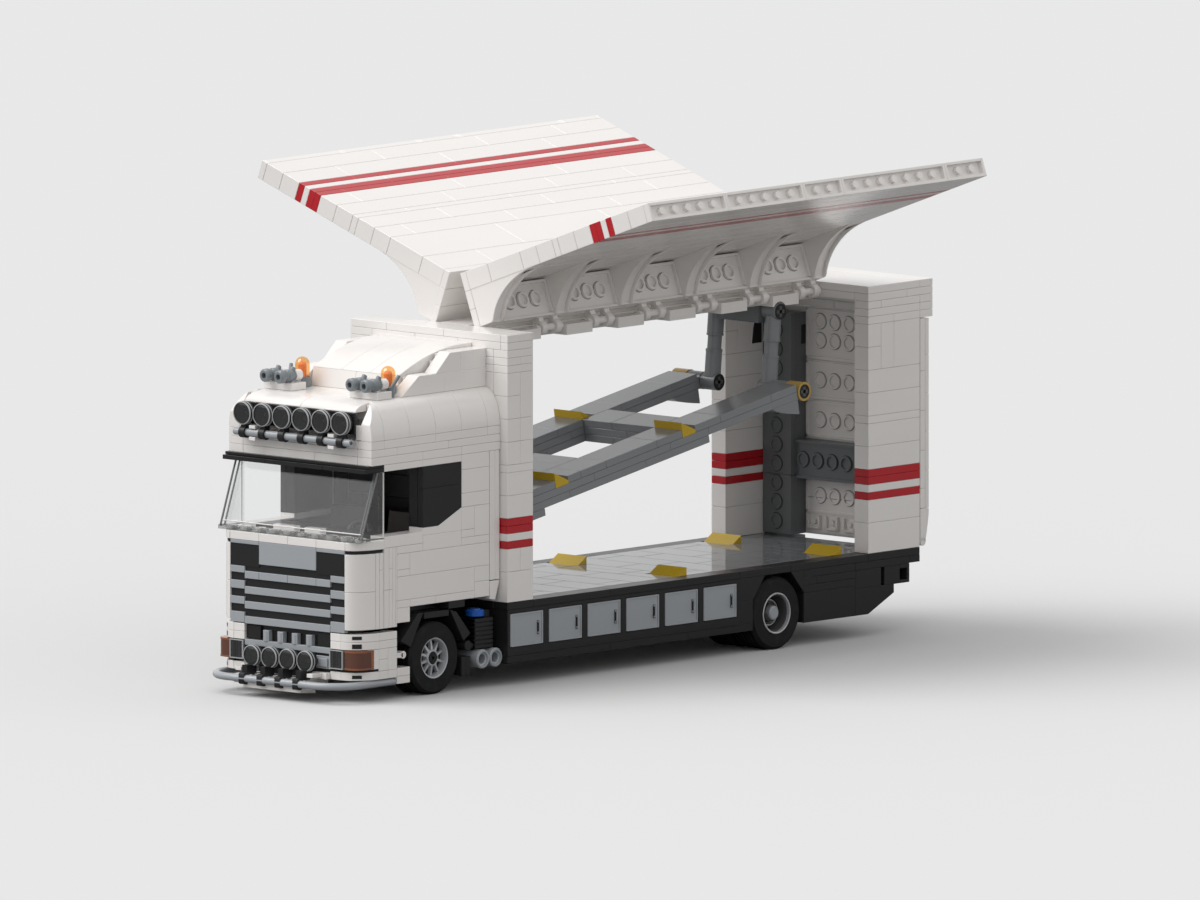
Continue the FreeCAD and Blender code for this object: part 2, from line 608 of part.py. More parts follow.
def cab_shell():
    inner = CAB_IN
    side = side_prism([(-9, 6.6), (-8, 6.6), (-8, 7.05), (-7, 7.05), (-7, 9),
                       (CAB_BACK_S, 9), (CAB_BACK_S, 28), (-9, 28)], inner, CAB_HALF)
    side = side.cut(brick(inner - 1, CAB_HALF + 1, -9.1, -6, 18.6, 27.1))
    panel = side_prism([(-6, 27.1), (-3, 27.1), (-3, 21.1), (-4.8, 19.1), (-6, 19.1)],
                       CAB_HALF - SKIN, CAB_HALF)
    side = side.cut(panel)
    roof_plates = both(brick(inner - 16, inner, -8.4, -6.6, CAB_TOP_K, CAB_TOP_K + 1))
    wing = side_prism([(CAB_BACK_S, 8.6), (-0.4, 8.4), (-0.05, 10.95), (-0.05, 28),
                       (CAB_BACK_S, 28)], CAB_HALF - SKIN, CAB_HALF)
    back = brick(-inner, inner, CAB_BACK_S - 1, CAB_BACK_S, 9, 28)
    corner = nose(CAB_HALF, -9, WALL, 2, 6.6, 17).cut(brick(-inner, inner, -12, -8, 6, 18))
    sill = nose(CAB_HALF, -9, WALL, 2, 17, 18.1).cut(brick(-inner, inner, -10, -8, 16, 19))
    save("cab_lower", fuse(both(side) + both(wing) + [back, corner, sill]))

    profile = side_prism([(-10, 28.1), (0, 28.1), (0, CAB_TOP_K), (-8.2, CAB_TOP_K),
                          (-9.3, CAB_TOP_K - 0.4), (-10, CAB_TOP_K - 1.2)],
                         -CAB_HALF, CAB_HALF)
    curve = [(CAB_HALF, z(28)), (CAB_HALF, z(31.2))]
    for i in range(1, 9):
        t = math.radians(i * 90 / 8)
        curve.append((CAB_HALF - 9 * (1 - math.cos(t)),
                      z(31.2 + (CAB_TOP_K - 31.2) * math.sin(t))))
    outline = [(-px, pz) for px, pz in reversed(curve)] + curve
    upper = profile.common(front_prism(outline, y(-12), y(1)))
    upper = upper.cut(brick(-inner, inner, -9, -1, 28, 33.5))
    save("cab_upper", fuse([upper] + roof_plates))

    top = CAB_TOP_K
    fairing = []
    step = top + 2.5
    for points in ([(-6.6, top), (-5.2, step), (0, step), (0, top)],
                   [(-4.2, step), (-3.1, step + 2.5), (0, step + 2.5), (0, step)]):
        fairing += both(side_prism(points, inner - STUD, inner))
    hood = [(-6, top), (-6, top + 2.4), (-4.8, top + 3.5), (-3.4, top + 4.5),
            (-1.8, top + 5.2), (-0.4, top + 5.5), (0, top + 5.5), (0, top)]
    fairing.append(side_prism(hood, -inner + STUD, inner - STUD))
    save("roof_fairing", fuse(fairing))

    floor = brick(-inner, inner, -9.5, CAB_BACK_S - 1, 8, 9)
    dash = side_prism([(-9.5, 9), (-8.4, 9), (-8.4, 16), (-9, 18), (-9.5, 18)], -inner, inner)
    wheel_x = inner / 2
    column = rod_y(1.6, y(-8.6), y(-7.7), wheel_x, z(17))
    wheel = Part.makeTorus(6, 1.2, V(wheel_x, y(-7.7), z(18)), V(0, 1, -0.5))
    spoke = box(wheel_x - 6, wheel_x + 6, y(-7.7) - 0.8, y(-7.7) + 0.8, z(18) - 0.8, z(18) + 0.8)
    save("cab_floor", fuse([floor, dash, column, wheel, spoke]))
    seat = side_prism([(-6.6, 9), (-3.2, 9), (-2.9, 20), (-3.9, 20), (-4.4, 12.5), (-6.6, 12.5)],
                      6, inner - 6)
    save("seats", both(seat))
    save("cab_trim", [brick(-CAB_HALF, CAB_HALF, -10.5, -9, 27.1, 28.1)] + both(panel))

    outer = [(-10.75, 18.3), (-9.5, 27.1), (-9, 27.1), (-9, 18.3)]
    pane = side_prism(outer, -CAB_HALF, CAB_HALF)
    hollow = [(-10.53, 18.2), (-9.26, 27.2), (-8.9, 27.2), (-8.9, 18.2)]
    pane = pane.cut(side_prism(hollow, -CAB_HALF + 1.6, CAB_HALF - 1.6))
    save("windscreen", pane)


def grille():
    wide = CAB_IN
    mid = CAB_IN - STUD
    narrow = CAB_IN - 2 * STUD
    back = [brick(-mid, mid, -10.7, -9.9, 3.3, 6.1), brick(-wide, wide, -10.7, -9.5, 6.1, 17)]
    slats = [brick(-narrow, narrow, -11, -10.7, 14, 17)]
    slats += both(brick(narrow, wide, -11, -10.7, 16.5, 17))
    back += both(brick(narrow, wide, -10.95, -10.7, 13.6, 16.5))
    for k in (12, 10, 8.05, 6.1):
        slats.append(brick(-mid, mid, -11, -10.7, k, k + 1))
    for k0, k1 in ((12.7, 13.6), (10.6, 11.7), (8.6, 9.6), (6.2, 7.6)):
        slats += both(brick(mid, wide, -11, -10.7, k0, k1))
    for k in (13, 11, 9.05, 7.1):
        back.append(brick(-mid, mid, -10.9, -10.7, k, k + 0.95))
    slats.append(brick(-mid, mid, -11, -10.7, 3.3, 4.1))
    for px in (-13, -4.5, 4.5, 13):
        slats.append(brick(px - 1.2, px + 1.2, -11, -10.7, 4.1, 5.4))
    save("grille_back", fuse(back))
    save("grille_slats", fuse(slats))


def bumper():
    shell = nose(CAB_HALF, -8, 10, 1.6, 0, 6.1)
    wide = CAB_IN
    mid = CAB_IN - STUD
    shell = shell.cut(brick(-wide, wide, -9.9, -7, -1, 7))
    shell = shell.cut(brick(-mid, mid, -12, -9, 3.3, 7))
    ends = both(brick(CAB_HALF - 4, CAB_HALF, -8, -7, -0.9, 1.2))
    tongue = [brick(-16, 16, -11.6, -10, -1, 0), brick(-16, 16, -12.2, -11, -2, -1)]
    clear = brick(mid, wide, -11.05, -10.75, 1.6, 3.9)
    amber = nose(CAB_HALF, -9, 10, 1.6, 1.6, 3.9)
    amber = amber.common(brick(wide, CAB_HALF - 1, -11, -9.2, 1.6, 3.9))
    amber = amber.cut(nose(CAB_HALF, -8, 10, 1.6, 0, 6, 1.6))
    shell = shell.cut(fuse(both(clear))).cut(fuse(both(amber)))
    save("bumper", fuse([shell] + ends + tongue))

    lenses = both(clear)
    housings = []
    bars = []
    lamps = []

    def lamp(r, y0, y1, y2, px, pz):
        housings.extend(both(rod_y(r, y1, y2, px, pz)))
        lenses.extend(both(rod_y(r - 0.5, y0, y1, px, pz)))
        lamps.extend(both(rod_y(r + 0.1, y0 - 0.1, y2 + 0.1, px, pz)))

    spot_z = z(2.3)
    for px in (5, 15):
        lamp(4.4, y(-11.85), y(-11.7), y(-11.06), px, spot_z)
    bar_z = z(-0.55)
    bar_y = y(0) + BULL_BAR_Y
    side_x = CAB_HALF - 2
    bend = 14.0
    back_y = y(-8)
    h = bend * (1 - math.sqrt(0.5))
    path = [Part.LineSegment(V(-side_x, back_y, bar_z), V(-side_x, bar_y + bend, bar_z)),
            Part.Arc(V(-side_x, bar_y + bend, bar_z), V(-side_x + h, bar_y + h, bar_z),
                     V(-side_x + bend, bar_y, bar_z)),
            Part.LineSegment(V(-side_x + bend, bar_y, bar_z), V(side_x - bend, bar_y, bar_z)),
            Part.Arc(V(side_x - bend, bar_y, bar_z), V(side_x - h, bar_y + h, bar_z),
                     V(side_x, bar_y + bend, bar_z)),
            Part.LineSegment(V(side_x, bar_y + bend, bar_z), V(side_x, back_y, bar_z))]
    wire = Part.Wire([edge.toShape() for edge in path])
    section = Part.Wire(Part.Circle(V(-side_x, back_y, bar_z), V(0, 1, 0), BAR_R).toShape())
    bars.append(wire.makePipeShell([section], True, False))
    for px in (-15, -5, 5, 15):
        bars.append(box(px - 1.6, px + 1.6, bar_y, y(-11.6), bar_z, spot_z - 3.6))

    lamp_z = z(33.5)
    face_y = y(-10)
    bars.append(rod_x(BAR_R, -CAB_HALF + 4, CAB_HALF - 4, face_y - 5, z(31)))
    for i in range(3):
        px = (CAB_HALF - LAMP_END) * (i + 0.5) / 2.5
        lamp(4.9, face_y - 6, face_y - 5, face_y - 1, px, lamp_z)
        bars += both(box(px - 1.2, px + 1.2, face_y - 5, face_y, z(30.6), z(32)))
    housings.append(box(-CAB_HALF + 6, CAB_HALF - 6, face_y - 1, face_y, z(32), z(34.8)))
    for px in (mid - 3.5, mid + 3.5):
        horn = Part.makeCone(2.6, 1.4, 12, V(px, y(-8.9), z(CAB_TOP_K + 2.2)), V(0, 1, 0))
        bars += both(horn)
    bars += both(brick(mid - 5, mid + 5, -8.1, -7.5, CAB_TOP_K + 1, CAB_TOP_K + 2.4))
    save("lamp_housings", fuse(housings))
    save("lamp_lenses", lenses)
    save("lamp_bars", fuse(bars).cut(fuse(lamps)))
    dome_z = z(CAB_TOP_K + 2.9)
    beacon = fuse([rod_z(3.2, z(CAB_TOP_K + 1), dome_z, mid, y(-6.9)),
                   Part.makeSphere(3.2, V(mid, y(-6.9), dome_z))])
    beacons = both(beacon)
    save("amber_lenses", both(amber) + beacons)


def undercarriage():
    arch = side_prism([(-7.75, 4.6), (-6.1, 8), (-3.9, 8), (-2.35, 4.6), (-3.1, 3.7),
                       (-4.2, 7.1), (-5.9, 7.1), (-7.05, 3.8)],
                      CAB_HALF - 16, CAB_HALF)
    block = brick(CAB_IN, CAB_HALF, -4, -2.75, 8, 9)
    deep = CAB_HALF - 20
    case = brick(deep, CAB_HALF - 0.6, -1.94, -0.55, 2.3, 6)
    ribs = [brick(deep, CAB_HALF, -1.94, -0.55, k, k + 0.7) for k in (2.3, 3.2, 4.1, 5.0, 5.8)]
    step = brick(CAB_HALF - 16, CAB_HALF, -3, -2.3, -1, 1.5)
    post = brick(CAB_HALF - 16, CAB_IN, -2.9, -2.3, 1.5, 4.6)
    save("mudguards", both(fuse([arch, block, case, step, post] + ribs)))
    tanks = []
    end = CAB_HALF + 1.6
    for s in (-1.54, -0.54):
        tube = rod_x(4, CAB_HALF - 28, end, y(s), z(0.95))
        tanks.append(tube.cut(rod_x(2.2, end - 5, end + 1, y(s), z(0.95))))
    save("air_tanks", both(fuse(tanks)))
    save("fuel_cap", both(rod_z(4, z(6.5), z(7.7), CAB_HALF - 4, y(-1.45))))


os.makedirs("parts", exist_ok=True)
chassis()
lockers()
wheels()
cab_shell()
grille()
bumper()
undercarriage()
box_body()
roof_spine()
deck_chocks()
wing()
upper_deck()
lift_arms()
tailgate()
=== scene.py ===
"""Brick-built toy car transporter truck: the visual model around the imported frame.

The file is laid out as an add-on and run as a script. One operator builds each piece or
group of like pieces, and main() calls them in order. Pieces are modelled in millimetres on
the model's brick grid: s counts studs behind the box's front face, k counts plates above
the underside of the sill, and x is millimetres from the middle, +x on the truck's left.
"""
import json
import math
from itertools import accumulate, pairwise

import bmesh
import bpy
from bpy.props import FloatProperty, FloatVectorProperty, PointerProperty
from mathutils import Matrix, Vector


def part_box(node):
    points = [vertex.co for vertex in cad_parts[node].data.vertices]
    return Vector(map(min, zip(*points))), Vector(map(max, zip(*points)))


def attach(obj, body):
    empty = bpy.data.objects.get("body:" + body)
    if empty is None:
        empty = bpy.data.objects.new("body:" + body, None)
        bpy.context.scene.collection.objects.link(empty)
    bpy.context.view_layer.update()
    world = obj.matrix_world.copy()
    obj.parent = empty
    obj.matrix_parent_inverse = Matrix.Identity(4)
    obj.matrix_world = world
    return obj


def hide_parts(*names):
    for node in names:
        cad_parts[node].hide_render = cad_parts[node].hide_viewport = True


bl_info = {
    "name": "Toy car transporter",
    "version": (1, 0, 0),
    "blender": (4, 5, 0),
    "location": "3D View > Sidebar > Transporter",
    "description": "Builds the visual model of a brick-built toy car transporter truck",
    "category": "Object",
}

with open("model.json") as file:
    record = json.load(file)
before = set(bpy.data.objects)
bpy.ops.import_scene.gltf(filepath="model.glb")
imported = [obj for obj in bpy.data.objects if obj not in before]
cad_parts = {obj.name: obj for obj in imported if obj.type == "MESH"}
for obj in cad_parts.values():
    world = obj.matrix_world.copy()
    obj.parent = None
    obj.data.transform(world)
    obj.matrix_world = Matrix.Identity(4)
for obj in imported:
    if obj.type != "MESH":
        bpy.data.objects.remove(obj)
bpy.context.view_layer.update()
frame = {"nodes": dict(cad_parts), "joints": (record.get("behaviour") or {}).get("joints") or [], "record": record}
MM = 0.001

# The brick grid, read from the frame
STUD = 8.0
PLATE = 3.2
SILL_LOW, SILL_HIGH = (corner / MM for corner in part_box("side_sills"))
BOX_HALF = SILL_HIGH.x
SILL_Z = SILL_LOW.z
BOX_Y = SILL_LOW.y
POST_IN = BOX_HALF - STUD
REAR_S = 32
DECK_K = 8
ROOF_K = 43
CHOCK_ROWS = (13, 25)
TRACK_IN = 20.0
CAB_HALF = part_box("cab_upper")[1].x / MM
CAB_IN = CAB_HALF - STUD
CAB_PANEL_IN = CAB_HALF - 3.2
CAB_ROUND = 9
CAB_TOP_K = 36.1


def y(s):
    """Y of a place s studs behind the box's front face."""
    return BOX_Y + s * STUD


def z(k):
    """Z of a place k plates above the underside of the sill."""
    return SILL_Z + k * PLATE


def spot(x, s, k):
    """A place on the brick grid."""
    return Vector((x, y(s), z(k)))


def joint_place(name):
    """Where a joint turns, in millimetres."""
    joint = next(joint for joint in frame["joints"] if joint["name"] == name)
    return Vector(joint["pos_m"]) / MM


# Sizes and colours that a user would change

class TransporterSizes(bpy.types.PropertyGroup):
    slit: FloatProperty(name="Slit", description="Half of the slit between two bricks, mm",
                        default=0.05, min=0, max=0.3)
    edge: FloatProperty(name="Edge", description="Rounding of the bricks' edges, mm",
                        default=0.14, min=0.02, max=0.4)
    ring: FloatProperty(name="Ring height", description="Height of the rings under a plate, mm",
                        default=1.3, min=0.3, max=3)
    sky: FloatProperty(name="Sky", description="Strength of the even light from all round",
                       default=0.79, min=0, max=2)
    key: FloatProperty(name="Key light", description="Strength of the soft light in front",
                       default=1.85, min=0, max=10)
    camera_width: FloatProperty(name="View width", description="Width of the camera's view",
                                default=0.49896, min=0.1, max=5, subtype="DISTANCE", unit="LENGTH")


def colour(name, value, text):
    return FloatVectorProperty(name=name, description=text, default=value, subtype="COLOR",
                               min=0, max=1)


class TransporterColours(bpy.types.PropertyGroup):
    white: colour("White", (0.83, 0.80, 0.775), "Walls, cab and wings")
    red: colour("Red", (0.48, 0.012, 0.02), "Bands round the box and along the wings")
    black: colour("Black", (0.018, 0.018, 0.019), "Chassis and trim")
    light_grey: colour("Light grey", (0.36, 0.38, 0.40), "Locker doors, bars and grille")
    mid_grey: colour("Mid grey", (0.235, 0.245, 0.255), "Upper deck and deck tiles")
    dark_grey: colour("Dark grey", (0.155, 0.165, 0.17), "Lift arms and tailgate tracks")
    yellow: colour("Yellow", (0.56, 0.37, 0.012), "Wheel chocks")
    tan: colour("Tan", (0.50, 0.33, 0.08), "Bushes of the upper deck")
    blue: colour("Blue", (0.01, 0.10, 0.46), "Tank cap")
    amber: colour("Amber", (0.95, 0.30, 0.03), "Beacons and corner lamps")
    silver: colour("Silver", (0.50, 0.51, 0.53), "Wheel rims")
    rubber: colour("Rubber", (0.010, 0.010, 0.011), "Tyres")
    floor: colour("Floor", (0.65, 0.65, 0.65), "Studio floor")


def sizes():
    return bpy.context.scene.transporter_sizes


def colours():
    return bpy.context.scene.transporter_colours


# Shader maths

class Socket:
    """A shader output whose arithmetic adds Math nodes."""

    def __init__(self, shader, link):
        self.shader = shader
        self.link = link

    def math(self, operation, first, second):
        return self.shader.node("ShaderNodeMath", {0: first, 1: second}, operation=operation)

    def __add__(self, other):
        return self.math("ADD", self, other)

    __radd__ = __add__

    def __mul__(self, other):
        return self.math("MULTIPLY", self, other)

    def __sub__(self, other):
        return self.math("SUBTRACT", self, other)


class Shader:
    """A material in the making, on Object coordinates."""

    def __init__(self, name):
        self.material = bpy.data.materials.new(name)
        self.material.use_nodes = True
        self.tree = self.material.node_tree
        self.tree.nodes.clear()
        self.place = self.node("ShaderNodeTexCoord", output="Object")

    def node(self, kind, inputs=None, output=0, **settings):
        """Adds a node: its settings first, then its sockets' values and links."""
        made = self.tree.nodes.new(kind)
        for key, value in settings.items():
            setattr(made, key, value)
        for key, value in (inputs or {}).items():
            if isinstance(value, Socket):
                self.tree.links.new(value.link, made.inputs[key])
            else:
                made.inputs[key].default_value = value
        return Socket(self, made.outputs[output])

    def noise(self, scale, detail=2.0, rough=0.5, place=None):
        return self.node("ShaderNodeTexNoise", {"Vector": place or self.place, "Scale": scale,
                                                "Detail": detail, "Roughness": rough})

    def patches(self, *noise):
        """Noise of which only the strongest part is left."""
        made = self.node("ShaderNodeValToRGB", {"Fac": self.noise(*noise)})
        for stop, place in zip(made.link.node.color_ramp.elements, (0.5, 0.8)):
            stop.position = place
        return made

    def blend(self, factor, first, second):
        """Mixes two colours."""
        return self.node("ShaderNodeMix", {"Factor": factor, 6: first, 7: second}, 2,
                         data_type="RGBA")

    def shades(self, factor, tone, low, high):
        """A colour that wanders between two shares of its strength."""
        return self.blend(factor, rgba(tone, low), rgba(tone, high))

    def bump(self, height, distance, strength):
        return self.node("ShaderNodeBump", {"Height": height, "Distance": distance,
                                            "Strength": strength})

    def end(self, surface):
        """Ends the material in a shader."""
        out = self.tree.nodes.new("ShaderNodeOutputMaterial")
        self.tree.links.new(surface.link, out.inputs["Surface"])
        return self.material

    def surface(self, **inputs):
        """Ends the material in a Principled shader."""
        named = {key.replace("_", " "): value for key, value in inputs.items()}
        return self.end(self.node("ShaderNodeBsdfPrincipled", named))


def rgba(value, share=1.0):
    return tuple(part * share for part in value) + (1.0,)


def moulded(name, tone, rough=0.17, shine=0.5):
    """Glossy moulded brick plastic: faint flow marks, fine skin and light handling haze."""
    shader = Shader(name)
    flow = shader.noise(45, 3, place=shader.node(
        "ShaderNodeMapping", {"Vector": shader.place, "Scale": (1.0, 0.45, 1.6)}))
    haze = shader.patches(160, 4, 0.6)
    base = shader.shades(flow, tone, 0.97, 1.02)
    return shader.surface(Base_Color=shader.blend(haze * 0.08, base, rgba(tone, 0.92)),
                          Roughness=rough + (flow - 0.5) * 0.05 + haze * 0.05,
                          Specular_IOR_Level=shine,
                          Normal=shader.bump(shader.noise(60, 1), 0.00005, 0.35))


def matt(name, tone, rough=0.5):
    """Moulded plastic with a fine spark-eroded grain."""
    shader = Shader(name)
    patch = shader.noise(60, 3)
    return shader.surface(Base_Color=shader.shades(patch, tone, 0.93, 1.04),
                          Roughness=rough + (patch - 0.5) * 0.12,
                          Normal=shader.bump(shader.noise(3200, 3, 0.7), 0.00004, 0.5))


def silver(name, tone):
    """Silver-grey rim plastic with a pearl sheen and faint flow lines."""
    shader = Shader(name)
    flow = shader.noise(130, 3)
    pearl = shader.noise(5200, 2, 0.6)
    return shader.surface(Base_Color=shader.shades(pearl, tone, 0.86, 1.06), Metallic=0.25,
                          Roughness=0.34 + (flow - 0.5) * 0.1,
                          Normal=shader.bump(flow, 0.00005, 0.4))


def rubber(name, tone):
    """Soft tyre rubber: fine grain, faint mould rings and a little dust."""
    shader = Shader(name)
    dust = shader.patches(260, 5, 0.65)
    base = shader.blend(dust * 0.25, rgba(tone), (0.075, 0.072, 0.068, 1))
    return shader.surface(Base_Color=base, Roughness=0.62 + dust * 0.2, Specular_IOR_Level=0.2,
                          Normal=shader.bump(shader.noise(4200, 3, 0.7), 0.00005, 0.6))


def clear(name, tone, density):
    """Transparent moulded plastic, tinted, with faint flow marks in its gloss."""
    shader = Shader(name)
    flow = shader.noise(120, 3)
    return shader.surface(Base_Color=shader.shades(flow, tone, 0.96, 1.02),
                          Roughness=0.05 + flow * 0.03, IOR=1.42, Transmission_Weight=density)


def pane(name, tone, gloss, haze=0.03):
    """Thin clear plastic: see-through, with a steady share of gloss."""
    shader = Shader(name)
    through = shader.node("ShaderNodeBsdfTransparent", {"Color": rgba(tone)})
    mirror = shader.node("ShaderNodeBsdfGlossy", {"Color": (1, 1, 1, 1), "Roughness": haze})
    share = shader.noise(90, 3) * 0.03 + (gloss - 0.015)
    return shader.end(shader.node("ShaderNodeMixShader", {0: share, 1: through, 2: mirror}))


# How each finish is made: its maker, a colour or the user's colour, then the maker's values
FINISHES = {
    "rubber": (rubber, "rubber"),
    "silver": (silver, "silver"),
    "black": (moulded, "black", 0.3, 0.3),
    "dark_grey": (moulded, "dark_grey", 0.3, 0.3),
    "deck": (moulded, "mid_grey", 0.07),
    # painted shade: the white at a third of its strength, for the dark lines round the rings' feet
    "shade": (moulded, "white", 0.3),
    "steel_grey": (moulded, (0.085, 0.084, 0.084), 0.3),
    "steel_blue": (moulded, (0.20, 0.225, 0.24), 0.2),
    # painted highlight: the pale grey of lens rims and frames stands for light caught in the clear edge
    "rim_clear": (moulded, (0.42, 0.43, 0.44), 0.08),
    "edge": (moulded, (0.17, 0.173, 0.176), 0.1),
    "lens": (moulded, (0.125, 0.052, 0.036), 0.08),
    "lens_edge": (clear, (0.50, 0.20, 0.11), 0.5),
    "clear_red": (clear, (0.55, 0.02, 0.02), 0.7),
    "seat": (matt, (0.03, 0.016, 0.013)),
    "amber_core": (matt, (0.98, 0.38, 0.05), 0.3),
    "amber": (pane, "amber", 0.12, 0.1),
    "smoke": (pane, (0.42, 0.43, 0.44), 0.10),
    "screen": (pane, (0.985, 0.99, 0.99), 0.088, 0.04),
    "foot": (pane, (0.72, 0.73, 0.73), 0.12, 0.06)}
# The deck is a touch darker than the mid grey; the painted shade is the white at 0.35 of its strength.
DARKER = {"deck": 0.97, "shade": 0.35}


def finish(name):
    """The material of one of the model's finishes, made when it is first asked for."""
    full = "finish_" + name
    if full in bpy.data.materials:
        return bpy.data.materials[full]
    maker, tone, *values = FINISHES.get(name, (moulded, name))
    if isinstance(tone, str):
        tone = [part * DARKER.get(name, 1) for part in getattr(colours(), tone)]
    if name == "amber":
        tone = [part ** 0.3 for part in tone]
    return maker(full, tone, *values)


# Modelling

SHARP = math.radians(34)


def kind_of(made, kind):
    """What is of one kind among the parts of a mesh."""
    return [item for item in made if isinstance(item, kind)]


def everything(part):
    return part.verts[:] + part.edges[:] + part.faces[:]


class Piece:
    """A piece in the making, in millimetres: hard has its edges rounded at the end."""

    def __init__(self, name):
        self.name = name
        self.hard = bmesh.new()
        self.fine = bmesh.new()
        self.finishes = []

    def _take(self, part, name, fine):
        """Adds a part's mesh to the piece, in one finish."""
        if name not in self.finishes:
            self.finishes.append(name)
        for side in part.faces:
            side.material_index = self.finishes.index(name)
        bmesh.ops.recalc_face_normals(part, faces=part.faces)
        mesh = bpy.data.meshes.new("part")
        part.to_mesh(mesh)
        part.free()
        (self.fine if fine else self.hard).from_mesh(mesh)
        bpy.data.meshes.remove(mesh)

    def block(self, name, x0, x1, y0, y1, z0, z1, fine=False):
        part = bmesh.new()
        middle = Matrix.Translation(((x0 + x1) / 2, (y0 + y1) / 2, (z0 + z1) / 2))
        size = Matrix.Diagonal((x1 - x0, y1 - y0, z1 - z0, 1))
        bmesh.ops.create_cube(part, size=1, matrix=middle @ size)
        self._take(part, name, fine)

    def brick(self, name, x0, x1, s0, s1, k0, k1):
        """A block on the brick grid, half a slit short of each neighbour."""
        slit = sizes().slit
        self.block(name, x0 + slit, x1 - slit, y(s0) + slit, y(s1) - slit,
                   z(k0) + slit, z(k1) - slit)

    def both(self, name, x0, x1, s0, s1, k0, k1):
        """A brick and its twin on the other side."""
        self.brick(name, x0, x1, s0, s1, k0, k1)
        self.brick(name, -x1, -x0, s0, s1, k0, k1)

    def row(self, name, x0, x1, splits, k0, k1):
        """A row of bricks along the truck, on both sides."""
        for s0, s1 in pairwise(splits):
            self.both(name, x0, x1, s0, s1, k0, k1)

    def course(self, name, half, long, shift, s0, s1, k0, k1):
        """A course of bricks across the truck, in a running bond."""
        for x0, x1 in bond(half, long, shift):
            self.brick(name, x0, x1, s0, s1, k0, k1)

    def prism(self, name, outline, along, fine=False):
        """Extrudes a flat outline of points along a vector."""
        part = bmesh.new()
        side = part.faces.new([part.verts.new(point) for point in outline])
        made = bmesh.ops.extrude_face_region(part, geom=[side])["geom"]
        bmesh.ops.translate(part, verts=kind_of(made, bmesh.types.BMVert), vec=along)
        self._take(part, name, fine)

    def side(self, name, points, x0, x1):
        """A prism along X from (s, k) points."""
        slit = sizes().slit
        self.prism(name, [(x0 + slit, y(s), z(k)) for s, k in points], (x1 - x0 - 2 * slit, 0, 0))

    def side_both(self, name, points, x0, x1):
        self.side(name, points, x0, x1)
        self.side(name, points, -x1, -x0)

    def rod(self, name, r, start, end, steps=32, r2=None, fine=True):
        """A cylinder or cone from start to end."""
        part = bmesh.new()
        start, end = Vector(start), Vector(end)
        turn = (end - start).to_track_quat("Z", "Y").to_matrix().to_4x4()
        bmesh.ops.create_cone(part, cap_ends=True, segments=steps, radius1=r,
                              radius2=r if r2 is None else r2, depth=(end - start).length,
                              matrix=Matrix.Translation((start + end) / 2) @ turn)
        self._take(part, name, fine)

    def lathe(self, name, profile, origin, axis, steps=32, fine=True):
        """Turns a closed outline of (along, radius) pairs about an axis."""
        part = bmesh.new()
        origin, axis = Vector(origin), Vector(axis).normalized()
        out = axis.orthogonal().normalized()
        ring = [part.verts.new(origin + axis * along + out * r) for along, r in profile]
        edges = [part.edges.new((ring[i - 1], ring[i])) for i in range(len(ring))]
        bmesh.ops.spin(part, geom=ring + edges, cent=origin, axis=axis, dvec=(0, 0, 0),
                       angle=2 * math.pi, steps=steps, use_merge=True, use_duplicate=False)
        bmesh.ops.remove_doubles(part, verts=part.verts, dist=0.0005)
        self._take(part, name, fine)

    def tube(self, name, outer, inner, start, end, steps=32, fine=True):
        """A ring or pipe from start to end."""
        start, end = Vector(start), Vector(end)
        self.lathe(name, band(0, (end - start).length, inner, outer), start, end - start, steps,
                   fine)

    def ring(self, name, dark, foot, tall, line, outer=3.5, r=3.2, inner=2.4, axis=(0, 1, 0)):
        """A ring on a face, with a thin dark line of painted shade round its foot."""
        foot, axis = Vector(foot), Vector(axis)
        self.tube(name, r, inner, foot - axis * tall, foot, 24)
        self.tube(dark, outer, r, foot - axis * line, foot, 24)

    def sweep(self, name, r, path, steps=20):
        """A round bar along a path of points."""
        part = bmesh.new()
        points = [Vector(point) for point in path]
        ring = bmesh.ops.create_circle(part, cap_ends=True, segments=steps, radius=r)["verts"]
        before = (points[1] - points[0]).normalized()
        turn = before.to_track_quat("Z", "Y").to_matrix().to_4x4()
        bmesh.ops.transform(part, matrix=Matrix.Translation(points[0]) @ turn, verts=ring)
        face = part.faces[:]
        for i, point in enumerate(points[1:], 1):
            made = bmesh.ops.extrude_face_region(part, geom=face)["geom"]
            ring = kind_of(made, bmesh.types.BMVert)
            bmesh.ops.translate(part, verts=ring, vec=point - points[i - 1])
            after = points[min(i + 1, len(points) - 1)] - points[i - 1]
            after = (after if after.length else before).normalized()
            bmesh.ops.rotate(part, verts=ring, cent=point,
                             matrix=before.rotation_difference(after).to_matrix())
            before = after
            if i > 1:
                bmesh.ops.delete(part, geom=face, context="FACES_ONLY")
            face = kind_of(made, bmesh.types.BMFace)
        self._take(part, name, fine=True)

    def turn(self, angle, centre, axis):
        matrix = Matrix.Rotation(math.radians(angle), 3, axis)
        for part in (self.hard, self.fine):
            bmesh.ops.rotate(part, verts=part.verts, cent=centre, matrix=matrix)

    def move(self, by):
        for part in (self.hard, self.fine):
            bmesh.ops.translate(part, verts=part.verts, vec=by)

    def mirror(self):
        """Adds the other side's copy of all that is made so far."""
        for part in (self.hard, self.fine):
            made = bmesh.ops.duplicate(part, geom=everything(part))["geom"]
            bmesh.ops.scale(part, verts=kind_of(made, bmesh.types.BMVert), vec=(-1, 1, 1))
            bmesh.ops.reverse_faces(part, faces=kind_of(made, bmesh.types.BMFace))

    def twin(self, name):
        """A mirrored copy, for the truck's other side."""
        other = Piece(name)
        other.finishes = list(self.finishes)
        for source, target in ((self.hard, other.hard), (self.fine, other.fine)):
            mesh = bpy.data.meshes.new("part")
            source.to_mesh(mesh)
            target.from_mesh(mesh)
            bpy.data.meshes.remove(mesh)
            bmesh.ops.scale(target, verts=target.verts, vec=(-1, 1, 1))
            bmesh.ops.reverse_faces(target, faces=target.faces)
        return other

